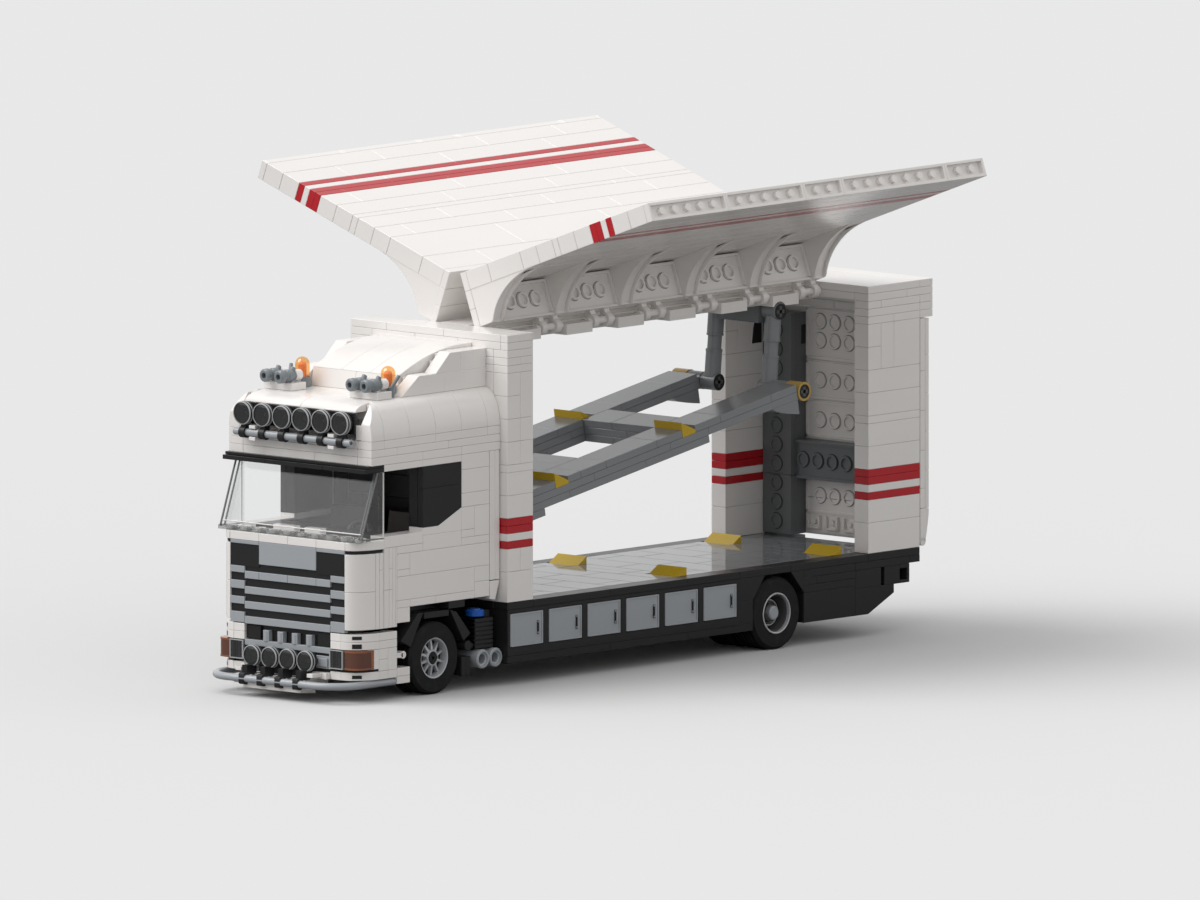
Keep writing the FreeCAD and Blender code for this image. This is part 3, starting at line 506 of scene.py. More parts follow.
    def cut(self, place, normal):
        """Cuts away what lies beyond a plane and closes the cut."""
        cut = bmesh.ops.bisect_plane(self.hard, geom=everything(self.hard), plane_co=place,
                                     plane_no=normal, clear_outer=True)["geom_cut"]
        bmesh.ops.edgenet_fill(self.hard, edges=kind_of(cut, bmesh.types.BMEdge))

    def join(self, other):
        """Takes over everything made in another piece of one colour."""
        self._take(other.hard, other.finishes[0], False)
        self._take(other.fine, other.finishes[0], True)

    def done(self, body, slot, *nodes):
        """Rounds the hard edges and hands the piece over to its body."""
        hard = self.hard
        hard.normal_update()
        edges = [edge for edge in hard.edges
                 if len(edge.link_faces) == 2 and edge.calc_face_angle(0) > SHARP]
        bmesh.ops.bevel(hard, geom=edges, offset=sizes().edge, offset_type="OFFSET",
                        segments=1, profile=0.5, affect="EDGES", material=-1,
                        clamp_overlap=False)
        mesh = bpy.data.meshes.new(self.name)
        self.fine.to_mesh(mesh)
        hard.from_mesh(mesh)
        bmesh.ops.scale(hard, verts=hard.verts, vec=(MM, MM, MM))
        hard.to_mesh(mesh)
        hard.free()
        self.fine.free()
        mesh.shade_smooth()
        mesh.set_sharp_from_angle(angle=SHARP)
        for name in self.finishes:
            mesh.materials.append(finish(name))
        made = bpy.data.objects.new(self.name, mesh)
        bpy.context.scene.collection.objects.link(made)
        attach(made, body)
        if nodes:
            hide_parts(*nodes)
        return made


def arc(cx, cy, rx, ry, start, end, steps):
    """Points on an ellipse, between two angles in degrees."""
    turns = [math.radians(start + (end - start) * i / steps) for i in range(steps + 1)]
    return [(cx + rx * math.cos(turn), cy + ry * math.sin(turn)) for turn in turns]


def band(a, b, inner, outer):
    """The profile of a pipe from a to b along its axis."""
    return (a, inner), (a, outer), (b, outer), (b, inner)


def rim(a0, a1, b0, b1, wide):
    """The four bars of a flat frame, as (a0, a1, b0, b1)."""
    return ((a0, a1, b0, b0 + wide), (a0, a1, b1 - wide, b1),
            (a0, a0 + wide, b0 + wide, b1 - wide), (a1 - wide, a1, b0 + wide, b1 - wide))


def bond(half, long, shift):
    """Pairs of joints in a course of bricks across the truck, laid in a running bond."""
    places = [-half]
    place = shift - half
    while place < half - 0.01:
        places.append(place)
        place += long
    return list(pairwise(places + [half]))


def laid(lengths):
    """Pairs of joints, in studs, in a row of bricks along a wing."""
    return pairwise(accumulate(lengths, initial=2))


# Box

FRONT_ROWS = ((8, 12), (12, 15), (16, 17), (19, 22), (22, 25), (25, 26), (26, 29), (29, 32),
              (32, 35), (35, 38), (38, 39), (39, 40), (40, 41))
RED_ROWS = ((15, 16), (17, 18), (18, 19))


class TRANSPORTER_OT_front_wall(bpy.types.Operator):
    """Front wall of the box with its two posts and roof tiles, brick by brick"""
    bl_idname = "transporter.front_wall"
    bl_label = "Front wall"

    def execute(self, context):
        wall = Piece("front_wall")
        splits = {32: (0, 1), 35: (0, 1), 12: (0, 1, 2), 26: (0, 1, 2), 29: (0, 1, 2),
                  39: (0, 1, 2)}
        for i, (k0, k1) in enumerate(FRONT_ROWS):
            wall.course("white", POST_IN, 32, (16, 32, 24)[i % 3], 0, 1, k0, k1)
            wall.row("white", POST_IN, BOX_HALF, splits.get(k0, (0, 2)), k0, k1)
        wall.both("white", POST_IN, BOX_HALF, 1, 2, 32, 38)
        wall.course("white", BOX_HALF, 24, 12, 0, 2, 41, 42)
        wall.course("white", BOX_HALF, 32, 20, 0, 2, 42, 43)
        wall.done("truck", "white", "box_front")
        return {"FINISHED"}


class TRANSPORTER_OT_red_bands(bpy.types.Operator):
    """Red courses round the front wall and the rear posts"""
    bl_idname = "transporter.red_bands"
    bl_label = "Red bands"

    def execute(self, context):
        bands = Piece("red_bands")
        for (k0, k1), shift in zip(RED_ROWS, (20, 32, 12)):
            bands.course("red", POST_IN, 32, shift, 0, 1, k0, k1)
            bands.both("red", POST_IN, BOX_HALF, 0, 2, k0, k1)
            bands.both("red", POST_IN, BOX_HALF, 28, REAR_S, k0, k1)
        bands.done("truck", "red", "stripes")
        return {"FINISHED"}


class TRANSPORTER_OT_rear_frame(bpy.types.Operator):
    """Rear posts and the header over the tailgate, brick by brick"""
    bl_idname = "transporter.rear_frame"
    bl_label = "Rear frame"

    def execute(self, context):
        posts = Piece("rear_frame")
        plate = ((158.4, z(33)), (164.4, z(33)), (164.4, z(36.3)), (160.4, z(36.3)), (159.2, z(35)))
        posts.prism("black", [(POST_IN - 0.2, py, pz) for py, pz in plate], (0.6, 0, 0))
        posts.mirror()
        splits = {32: (28, 29), 35: (28, 29), 38: (28, 30, REAR_S), 40: (28, 29, REAR_S)}
        for k0, k1 in FRONT_ROWS:
            posts.row("white", POST_IN, BOX_HALF, splits.get(k0, (28, REAR_S)), k0, k1)
        posts.row("white", POST_IN, BOX_HALF, (29, 30, REAR_S), 32, 38)
        for k, shift in ((38, 8), (39, 24), (40, 16)):
            posts.course("white", BOX_HALF, 32, shift, REAR_S, REAR_S + 1, k, k + 1)
        for k, shift, splits in ((41, 16, (28, 31, 33)), (42, 28, (28, 32, 33))):
            for s0, s1 in pairwise(splits):
                posts.course("white", BOX_HALF, 32, shift, s0, s1, k, k + 1)
        posts.done("truck", "white", "box_rear")
        return {"FINISHED"}


class TRANSPORTER_OT_deck(bpy.types.Operator):
    """Glossy deck tiles and the black plates along the deck's edge"""
    bl_idname = "transporter.deck"
    bl_label = "Deck"

    def execute(self, context):
        deck = Piece("deck_tiles")
        seam = 0.11
        for row, s in enumerate(range(1, REAR_S - 1, 2)):
            for x0, x1 in bond(POST_IN, 32, (16, 32, 8)[row % 3]):
                parts = [(x0, x1, y(s) + seam, y(s + 2) - seam)]
                if s in CHOCK_ROWS:
                    line = y(s + 1) - 0.05
                    parts = [(x0, x1, y(s) + seam, line),
                             (max(x0, -TRACK_IN), min(x1, TRACK_IN), line, y(s + 2) - seam)]
                for a0, a1, y0, y1 in parts:
                    if a1 > a0:
                        deck.block("deck", a0 + seam, a1 - seam, y0, y1, z(DECK_K - 1), z(DECK_K))
        deck.both("deck", TRACK_IN, POST_IN, REAR_S - 1, REAR_S, DECK_K - 1, DECK_K)
        deck.done("truck", "deck_grey", "deck_floor")

        sill = Piece("sills")
        for splits, k0, k1 in (((0, 2, 8, 14, 18, 22, 28, REAR_S), 7, 8), ((0, 8, 14, 19.05), 0, 1),
                               ((23, 27), 4, 5), ((24, 27), 5, 6), ((23, 27, 31.2), 6, 7)):
            sill.row("black", POST_IN, BOX_HALF, splits, k0, k1)
        sill.course("black", POST_IN, 32, 20, 0, 1, 7, 8)
        for points in (band(18, 19.05, 1, 4), band(23, 27, 0.1, 4), band(27, 29, 3.6, 6),
                       band(29.25, 30.45, 3.6, 6), band(30.45, 31.2, 5.5, 6),
                       band(30.45, 31.2, 3.6, 4), band(31, 31.2, 4, 5.5),
                       band(31.2, REAR_S, 6.1, 7), ((18, 4), (19.05, 4), (20, 7), (18, 7)),
                       ((27, 0.1), (28, 0.1), (30, 2.5), (30, 3.6), (27, 3.6)),
                       ((22, 7), (23, 4.1), (23, 5), (24, 5), (24, 6), (23, 6), (23, 7))):
            sill.side_both("black", points, POST_IN, BOX_HALF)
        sill.side_both("black", band(29, 31, 3.6, 6), POST_IN, BOX_HALF - 4)
        sill.done("truck", "black", "side_sills")
        return {"FINISHED"}


# Lockers

class TRANSPORTER_OT_locker_doors(bpy.types.Operator):
    """Twelve cupboard doors with a raised rim, hinge barrel and bow handle"""
    bl_idname = "transporter.locker_doors"
    bl_label = "Locker doors"

    def execute(self, context):
        for side in ("left", "right"):
            for i in range(1, 7):
                node = "locker_door_%s_%d" % (side, i)
                low, high = (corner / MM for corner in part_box(node))
                door = Piece("cupboard_" + node)
                face = (high.x if side == "left" else -low.x) - 1.2
                y0, y1, z0, z1 = low.y + 0.8, high.y, low.z, high.z
                door.block("light_grey", face - 1.6, face - 0.25, y0, y1, z0, z1)
                for bar in rim(y0, y1, z0, z1, 0.7):
                    door.block("light_grey", face - 0.4, face, *bar, fine=True)
                door.rod("light_grey", 0.8, (face - 0.8, y0, z0), (face - 0.8, y0, z1), 16,
                         fine=False)
                grip, middle = y1 - 2.9, (z0 + z1) / 2
                # Painted shadow: a thin black sheet behind the bow handle stands for the handle's shadow on the
                # door.
                door.block("black", face - 0.26, face - 0.18, grip - 0.7, grip + 0.7,
                           middle - 2.9, middle + 2.9, fine=True)
                for height in (middle - 2.3, middle + 2.3):
                    door.rod("light_grey", 0.5, (face - 0.3, grip, height),
                             (face + 0.95, grip, height), 12)
                door.rod("light_grey", 0.42, (face + 0.78, grip, middle - 2.7),
                         (face + 0.78, grip, middle + 2.7), 12)
                if side == "right":
                    door = door.twin(door.name)
                door.done(node, "light_grey", node)
        return {"FINISHED"}


# Gull wings

WING_ROWS = ((1, 4), (4, 7), (8, 9), (11, 14), (14, 17), (17, 18), (18, 21), (21, 24),
             (24, 30), (30, 34))
WING_RED = ((7, 8), (9, 10), (10, 11))
WING_BRICKS = ((8, 8, 6, 4), (4, 8, 8, 6), (6, 8, 8, 4), (2, 8, 8, 8))
TIP_BRICKS = (6, 6, 3, 8, 3)
HINGES = (7, 11, 15, 19, 23, 27)
WING_TURN = 110
WING_IN = 20.0
WING_TOP = z(ROOF_K)
WING_SKIN = 3.2


def wing_courses(wing, red):
    """Outer panel of a wing, shut, brick by brick."""
    slit = sizes().slit
    seam = slit * 1.7
    for i, (k0, k1) in enumerate(WING_ROWS):
        for s0, s1 in laid(WING_BRICKS[i % 4]):
            wing.block("white", POST_IN + slit, BOX_HALF - slit, y(s0) + seam, y(s1) - seam,
                       z(DECK_K + k0) + seam, z(DECK_K + k1) - seam)
    for i, (k0, k1) in enumerate(WING_RED, 1):
        for s0, s1 in laid(WING_BRICKS[i]):
            red.brick("red", POST_IN, BOX_HALF, s0, s1, DECK_K + k0, DECK_K + k1)


def wing_tip(wing):
    """Open undersides of the bricks along the wing's edge, with their pins."""
    slit = sizes().slit
    wall = 1.3
    low, high = z(DECK_K) + 0.3, z(DECK_K + 1) - slit
    x0, x1 = POST_IN + slit, BOX_HALF - slit
    for s0, s1 in laid(TIP_BRICKS):
        y0, y1 = y(s0) + slit, y(s1) - slit
        for bar in rim(x0, x1, y0, y1, wall):
            wing.block("white", *bar, low, high)
        wing.block("white", x0 + wall, x1 - wall, y0 + wall, y1 - wall, high - 0.9, high, fine=True)
        for s in range(s0 + 1, s1):
            wing.rod("white", 1.6, (40, y(s), low), (40, y(s), high - 0.9), 20)


def wing_corner(wing):
    """Roof skin, curved ribs and the rings under each bay."""
    skin = WING_TOP - WING_SKIN
    ring = sizes().ring
    slit = sizes().slit
    for x0, x1, splits in ((WING_IN, 28, (2, 8, 14, 20, 28)), (28, 36, (2, 6, 12, 18, 24, 28)),
                           (36, BOX_HALF, (2, 10, 16, 22, 28))):
        for s0, s1 in pairwise(splits):
            wing.block("white", x0 + slit, x1 - slit, y(s0) + slit, y(s1) - slit, skin, WING_TOP)

    def rib(deep, s, start, end):
        """A slice of a corner rib, hollowed by deep, between two depths into its stud."""
        curve = arc(POST_IN - 24, skin - 37.4, 24 + deep, 32 + deep, 2, 80, 14)
        outline = [(POST_IN + 0.5, skin), (WING_IN, skin)]
        outline += [(max(px, WING_IN + 0.1), pz) for px, pz in curve[::-1]]
        outline += [(POST_IN + 0.5, curve[0][1])]
        wing.prism("white", [(px, y(s) + start, pz) for px, pz in outline], (0, end - start, 0))

    for i in range(6):
        s = 2 + 5 * i
        rib(0, s, 0.3 if i == 0 else 0.05, 1.05)
        rib(1.6, s, 1.1, 6.9)
        rib(0, s, 6.95, 7.7 if i == 5 else 7.95)
    wing.block("white", WING_IN + 0.1, WING_IN + 1.1, y(2) + 0.6, y(28) - 0.6, skin - 5.8,
               skin - 0.1)
    base = skin - 4.8
    for i in range(5):
        y0, y1 = y(3 + 5 * i) + 0.05, y(7 + 5 * i) - 0.05
        wing.block("white", WING_IN + 1.2, 35.4, y0, y1, base, skin - 0.05)
        bars = rim(WING_IN + 1.3, 35.4, y0, y1, 1.1)
        for bar in (bars[0], bars[1], bars[3]):
            wing.block("white", *bar, base - ring, base, fine=True)
        for s in range(4, 7):
            # Each ring stands in a thin line of painted shade round its foot.
            wing.ring("white", "shade", (28, y(s + 5 * i), base), ring, 0.06, 3.6, 3.25, 2.3,
                      (0, 0, 1))


def wing_clips(wing):
    """Clips that hold the wing to the bars of the roof spine."""
    hinge = joint_place("wing_left_hinge")
    skin = WING_TOP - WING_SKIN
    for s in HINGES:
        for middle in (y(s) - 4.4, y(s) + 4.4):
            wing.tube("white", 3.0, 1.65, (hinge.x, middle - 1.5, hinge.z),
                      (hinge.x, middle + 1.5, hinge.z), 24, fine=False)
            wing.block("white", hinge.x + 2.6, WING_IN + 2, middle - 1.5, middle + 1.5,
                       hinge.z - 1.6, hinge.z + 1.6)
            wing.block("white", WING_IN + 0.2, WING_IN + 3.6, middle - 2.2, middle + 2.2,
                       hinge.z - 2.2, skin)
        wing.block("white", WING_IN + 0.2, WING_IN + 2.4, y(s) - 7, y(s) + 7, hinge.z - 1.2, skin)


class TRANSPORTER_OT_wings(bpy.types.Operator):
    """Both gull wings, built shut, then turned open about their hinges"""
    bl_idname = "transporter.wings"
    bl_label = "Wings"

    def execute(self, context):
        wing = Piece("gull_wing_left")
        red = Piece("gull_stripe_left")
        wing_courses(wing, red)
        wing_tip(wing)
        wing_corner(wing)
        wing_clips(wing)
        for piece, slot, node in ((wing, "white", "wing_"), (red, "red", "wing_stripe_")):
            piece.turn(-WING_TURN, joint_place("wing_left_hinge"), "Y")
            other = piece.twin(piece.name.replace("left", "right"))
            piece.done("wing_left", slot, node + "left")
            other.done("wing_right", slot, node + "right")
        return {"FINISHED"}


# Upper deck

RAMP_TILT = math.radians(10.07)
RAMP_SPAN = 184.6


class TRANSPORTER_OT_upper_deck(bpy.types.Operator):
    """Sloping upper deck: tiles over plates, cross pieces, brackets and lugs"""
    bl_idname = "transporter.upper_deck"
    bl_label = "Upper deck"

    def execute(self, context):
        ramp = Piece("upper_deck_frame")
        slit = sizes().slit
        start, end = 4.3, 180.3
        top, mid, low, base = 4.1, 0.9, -2.3, -5.5
        out = POST_IN - 0.3

        def plates(x0, x1, splits, z0, z1):
            """Plates between distances in studs before the deck's rear end."""
            for back0, back1 in pairwise(splits):
                ramp.block("mid_grey", x0 + slit, x1 - slit, end - back0 * STUD + slit,
                           end - back1 * STUD - slit, z0 + slit, z1 - slit)

        for x1, splits, z0, z1 in ((out, (22, 19), mid, top), (out, (18, 17, 15, 11, 9), mid, top),
                                   (out, (8, 6, 2, 0), mid, top),
                                   (TRACK_IN + 0.4, (19, 18), mid, top),
                                   (TRACK_IN + 0.4, (9, 8), mid, top),
                                   (out, (22, 16, 10, 7, 0), low, mid),
                                   (out, (22, 18, 12, 7), base, low),
                                   (out, (22, 20), base - 3.2, base)):
            plates(TRACK_IN, x1, splits, z0, z1)
        bow = [(end - 16 + 16 * math.sin(t), low - 6.4 * math.sin(t * 1.02) ** 0.7)
               for t in [math.pi / 20 * i for i in range(10)]]
        bow += [(end, low - 6.4), (end, low)]
        ramp.prism("mid_grey", [(TRACK_IN + slit, a, b) for a, b in bow],
                   (out - TRACK_IN - 2 * slit, 0, 0))
        span = end + 4.3
        ramp.tube("mid_grey", 3.7, 2.45, (TRACK_IN, span, 0), (TRACK_IN + 8, span, 0), fine=False)
        ramp.block("mid_grey", TRACK_IN + 0.1, TRACK_IN + 7.9, end - 1, span - 2.8, -2.7, 2.3)
        ramp.tube("mid_grey", 3.2, 2.45, (TRACK_IN, 0, 0), (out, 0, 0), fine=False)
        ramp.block("mid_grey", TRACK_IN, out, 2.6, start + 1, -2.2, 2.3)
        ramp.mirror()
        for splits, z0, z1, x in (((22, 20, 16, 15), mid, top, -4), ((9, 7), mid, top, -4),
                                  ((22, 18, 15), low, mid, 4), ((9, 7), low, mid, 4),
                                  ((22, 18, 15), base, low, -4), ((9, 7), base, low, -4)):
            plates(-TRACK_IN, x, splits, z0, z1)
            plates(x, TRACK_IN, splits, z0, z1)
        ramp.turn(math.degrees(RAMP_TILT), (0, 0, 0), "X")
        ramp.move(joint_place("upper_deck_hinge"))
        ramp.done("upper_deck", "deck_grey", "upper_deck")
        return {"FINISHED"}


def axle_end(piece, centre, axis, r=2.4):
    """End of a black cross axle in a round hole."""
    centre, axis = Vector(centre), Vector(axis)
    piece.tube("black", r + 0.55, r - 0.05, centre - axis * 0.6, centre + axis * 0.12, 28)
    piece.rod("black", r, centre - axis * 0.5, centre + axis * 0.06, 28)
    x0, x1 = sorted((centre.x - axis.x * 0.5, centre.x + axis.x * 0.1))
    for wide, tall in ((r * 0.82, 0.75), (0.75, r * 0.82)):
        piece.block("steel_grey", x0, x1, centre.y - wide, centre.y + wide, centre.z - tall,
                    centre.z + tall, fine=True)


class TRANSPORTER_OT_pins(bpy.types.Operator):
    """Stepped lift arms, and black axle ends in the eyes of the arms, bushes and deck"""
    bl_idname = "transporter.pins"
    bl_label = "Pins"

    def execute(self, context):
        head = joint_place("lift_arm_swing")
        foot = joint_place("upper_deck_hinge")
        foot += Vector((0, RAMP_SPAN * math.cos(RAMP_TILT), RAMP_SPAN * math.sin(RAMP_TILT)))
        stems = Piece("lift_arm_stems")
        arms = Piece("arm_pins")
        middle = Vector((15.85, 0, 0))
        for r, a, b in ((3.4, 0.06, 0.43), (3.55, 0.39, 0.42), (2.95, 0.42, 0.62),
                        (3.6, 0.6, 0.63), (3.45, 0.62, 0.94)):
            stems.rod("mid_grey", r, foot.lerp(head, a) + middle, foot.lerp(head, b) + middle, 28,
                      fine=False)
        for _, py, pz in (head, foot):
            stems.rod("mid_grey", 3.6, (12, py, pz), (19.7, py, pz), fine=False)
            axle_end(arms, (19.85, py, pz), (1, 0, 0), 2.8)
            axle_end(arms, (12, py, pz), (-1, 0, 0), 2.8)
        deck = Piece("deck_pins")
        axle_end(deck, (35.75, foot.y, foot.z), (1, 0, 0))
        deck.tube("tan", 4.0, 3.1, (28.1, foot.y, foot.z), (35.9, foot.y, foot.z))
        for piece in (stems, arms, deck):
            piece.mirror()
        stems.done("lift_arms", "dark_grey", "lift_arms")
        arms.done("lift_arms", "black")
        deck.done("upper_deck", "tan")
        return {"FINISHED"}


# Tailgate

class TRANSPORTER_OT_tailgate(bpy.types.Operator):
    """Tailgate of plates on their side, with rings on its inner face"""
    bl_idname = "transporter.tailgate"
    bl_label = "Tailgate"

    def execute(self, context):
        gate = Piece("tailgate_panel")
        hinge = joint_place("tailgate_hinge")
        slit = sizes().slit
        back = y(REAR_S) + 0.3
        line = back + 3.0
        high = z(38) - 0.5
        for z0, z1 in pairwise([z(k) for k in (13, 15.6, 20.6, 25.8, 31)] + [high]):
            for x0, x1 in pairwise((-BOX_HALF, -POST_IN, -TRACK_IN, TRACK_IN, POST_IN, BOX_HALF)):
                gate.block("white", x0 + slit, x1 - slit, back, line, z0 + slit, z1 - slit)
        foot = [(back, hinge.z), (hinge.y + 1.4, hinge.z - 0.4), (back + 4.24, hinge.z + 4.5),
                (back + 5.3, hinge.z + 11.5), (back + 5.3, z(12.95)), (back, z(12.95))]
        gate.prism("white", [(-BOX_HALF + slit, a, b) for a, b in foot],
                   (2 * BOX_HALF - 2 * slit, 0, 0))
        gate.rod("white", 1.7, (-BOX_HALF + slit, hinge.y, hinge.z),
                 (BOX_HALF - slit, hinge.y, hinge.z), fine=False)
        for i, (z0, z1) in enumerate(pairwise([z(k) for k in (13, 18, 23, 28, 33)] + [high])):
            for x0, x1 in bond(BOX_HALF, 32, (12, 32)[i % 2]):
                gate.block("white", x0 + slit, x1 - slit, line + 0.12, back + 5.3, z0 + slit,
                           z1 - slit)
        ring = 0.7
        for k in (36.1, 33.6, 28.4, 23.2, 13.3):
            for px in (-12, -4, 4, 12):
                # Each ring stands in a thin line of painted shade round its foot.
                gate.ring("white", "shade", (px, back, z(k)), ring, 0.06, 3.55)
        for z0, z1 in ((z(31.2), high - 0.4), (z(26), z(30.8)), (z(20.9), z(25.6)),
                       (z(11), z(15.4))):
            for a0, a1, b0, b1 in ((-19.6, 19.6, z0, z0 + 0.9), (-19.6, 19.6, z1 - 0.9, z1),
                                   (-19.6, -18.7, z0, z1), (18.7, 19.6, z0, z1)):
                gate.block("white", a0, a1, back - ring, back, b0, b1, fine=True)
        for px in (-15, -5, 5, 15):
            gate.block("white", px - 3.4, px + 3.4, back - 1.4, back, z(8.9), z(9.2))
            for middle in (px - 3, px + 3):
                gate.block("white", middle - 0.5, middle + 0.5, back - 1.4, back, z(9), z(10.7))
            gate.rod("white", 1.3, (px, back - 1.2, z(9.9)), (px, back, z(9.9)), 16)
        gate.done("tailgate", "white", "tailgate")

        tracks = Piece("gate_tracks")
        front = back - 9.6
        for z0, z1 in ((z(8) + 0.6, z(16)), (z(16), z(26)), (z(26), z(37.2))):
            for y0, y1 in ((front + 0.02, front + 3.2), (front + 3.3, back)):
                tracks.block("dark_grey", TRACK_IN, POST_IN - 0.3, y0, y1, z0, z1 - 0.1)
        tracks.block("black", TRACK_IN - 0.07, TRACK_IN + 0.3, back - 3.1, back - 0.05, z(33),
                     z(35.5), fine=True)
        height = z(8) + 6
        while height < z(36.5):
            # The black line round each ring's foot is painted shade.
            tracks.ring("dark_grey", "black", (28, front + 0.1, height), ring, 0.14)
            height += STUD
        tracks.mirror()
        half = TRACK_IN - 0.1
        tracks.block("dark_grey", -half, half, back - 6.1, back, z(15.6), z(20.6))
        for z0, z1 in ((z(15.6), z(15.6) + 1.2), (z(20.6) - 1.2, z(20.6))):
            tracks.block("dark_grey", -half, half, back - 6.9, back - 6, z0, z1, fine=True)
        for px in (-16, -8, 0, 8, 16):
            # The black line round each ring's foot is painted shade.
            tracks.ring("dark_grey", "black", (px, back - 6, z(18.1)), 0.9, 0.16)
        tracks.done("tailgate", "dark_grey", "tailgate_tracks")
        return {"FINISHED"}


# Cab

SIDE_BRICKS = ((-9, -8.62, 6.6, 11.6), (-9, -8.62, 11.6, 17.1), (-8.62, -8.34, 6.6, 11.6),
               (-8.62, -8.34, 11.6, 14.3), (-8.62, -8.34, 14.3, 17.1), (-8.34, -8.12, 6.6, 17.1),
               (-8.12, -8, 6.6, 10), (-8, -7, 7.05, 9),
               (-8, -7, 9, 10), (-7, -5, 9, 10), (-5, -2, 9, 10),
               (-2, -0.85, 9, 11.1), (-8.12, -8, 10, 17.1), (-8, -2, 10, 13.1),
               (-2, -0.85, 11.1, 13.1), (-8, -7, 13.1, 14),
               (-8, -7, 14, 16.1), (-7, -0.85, 13.1, 16.1), (-8, -6, 16.1, 17.1),
               (-6, -3, 16.1, 18.1), (-3, -0.85, 16.1, 17.1), (-9, -6, 17.1, 18.6),
               (-3, -2, 17.1, 18.1), (-3, -2, 18.1, 21.1), (-2, -0.85, 17.1, 21.1),
               (-3, -0.85, 21.1, 22.9), (-3, -0.85, 22.9, 26), (-3, -0.85, 26, 28),
               (-9, -6, 27.1, 28), (-6, -3, 27.1, 28))


def corner(piece, name, x_side, round_x, s_front, round_s, k0, k1, start=0, end=90, deep=3.5,
           proud=0.0, fine=False):
    """Part of a corner of the nose, rounded in plan, between two angles from the front."""
    slit = 0 if fine else sizes().slit
    rx, ry = round_x, round_s * STUD
    middle = (x_side - rx, y(s_front) + ry)
    plan = arc(*middle, rx + proud, ry + proud, start - 90, end - 90, 8)
    plan += arc(*middle, max(rx - deep, 0.2), max(ry - deep, 0.2), end - 90, start - 90, 8)
    piece.prism(name, [(px, py, z(k0) + slit) for px, py in plan],
                (0, 0, (k1 - k0) * PLATE - 2 * slit), fine)


class TRANSPORTER_OT_cab_body(bpy.types.Operator):
    """Sides, corners, back and sill of the cab"""
    bl_idname = "transporter.cab_body"
    bl_label = "Cab body"

    def execute(self, context):
        cab = Piece("cab_body")
        for start, end, k0, k1 in ((0, 71.6, 6.6, 11.57), (0, 71.6, 11.57, 16.55),
                                   (72, 79.6, 6.6, 16.55), (80, 87.6, 6.6, 14.3),
                                   (80, 87.6, 14.3, 16.55), (88, 90, 6.6, 16.55)):
            corner(cab, "white", CAB_HALF, STUD, -11, 2, k0, k1, start, end)
        corner(cab, "white", CAB_HALF, STUD - 0.3, -11, 2, 17, 18.1)
        corner(cab, "black", CAB_HALF - 0.6, STUD - 0.6, -10.95, 1.9, 16.6, 17)
        cab.mirror()
        for sides in SIDE_BRICKS:
            cab.both("white", CAB_IN, CAB_HALF, *sides)
        cab.side_both("white", ((-6, 18.1), (-3, 18.1), (-3, 21.1), (-4.8, 19.1), (-6, 19.1)),
                      CAB_IN, CAB_HALF)
        cab.both("black", CAB_IN, CAB_HALF - 3.3, -6, -3, 19.15, 27.05)
        # Painted shade: thin black sheets on the inner faces of the side walls stand for the dark inside of the
        # cab.
        cab.both("black", CAB_IN - 0.3, CAB_IN, -9, -1.85, 9, 18.4)
        cab.both("black", CAB_IN - 0.3, CAB_IN, -3, -1.85, 18.4, 27.9)
        cab.side_both("white", ((-0.82, 8.6), (-0.4, 8.4), (-0.05, 10.95), (-0.82, 10.95)),
                      CAB_PANEL_IN, CAB_HALF)
        cab.row("white", CAB_PANEL_IN, CAB_HALF, (-0.82, -0.4, -0.05), 11.05, 28)
        for k0, k1, shift in ((9, 12, 16), (12, 15, 32), (15, 18, 24), (18, 21, 8), (21, 24, 16),
                              (24, 28, 32)):
            cab.course("white", CAB_IN, 32, shift, -1.45, -0.85, k0, k1)
            # Painted shade: a thin black layer on the back wall's inner face stands for the dark inside of the
            # cab.
            cab.course("black", CAB_IN, 32, shift, -1.85, -1.45, k0, k1)
        cab.brick("black", -CAB_IN + 0.4, CAB_IN - 0.4, -8.85, -7.2, 17.6, 18.6)
        for x0, x1 in pairwise((-32.2, -16, 0, 16, 32.2)):
            cab.brick("white", x0, x1, -11, -10, 17, 18.1)
        cab.done("truck", "white", "cab_lower")
        return {"FINISHED"}


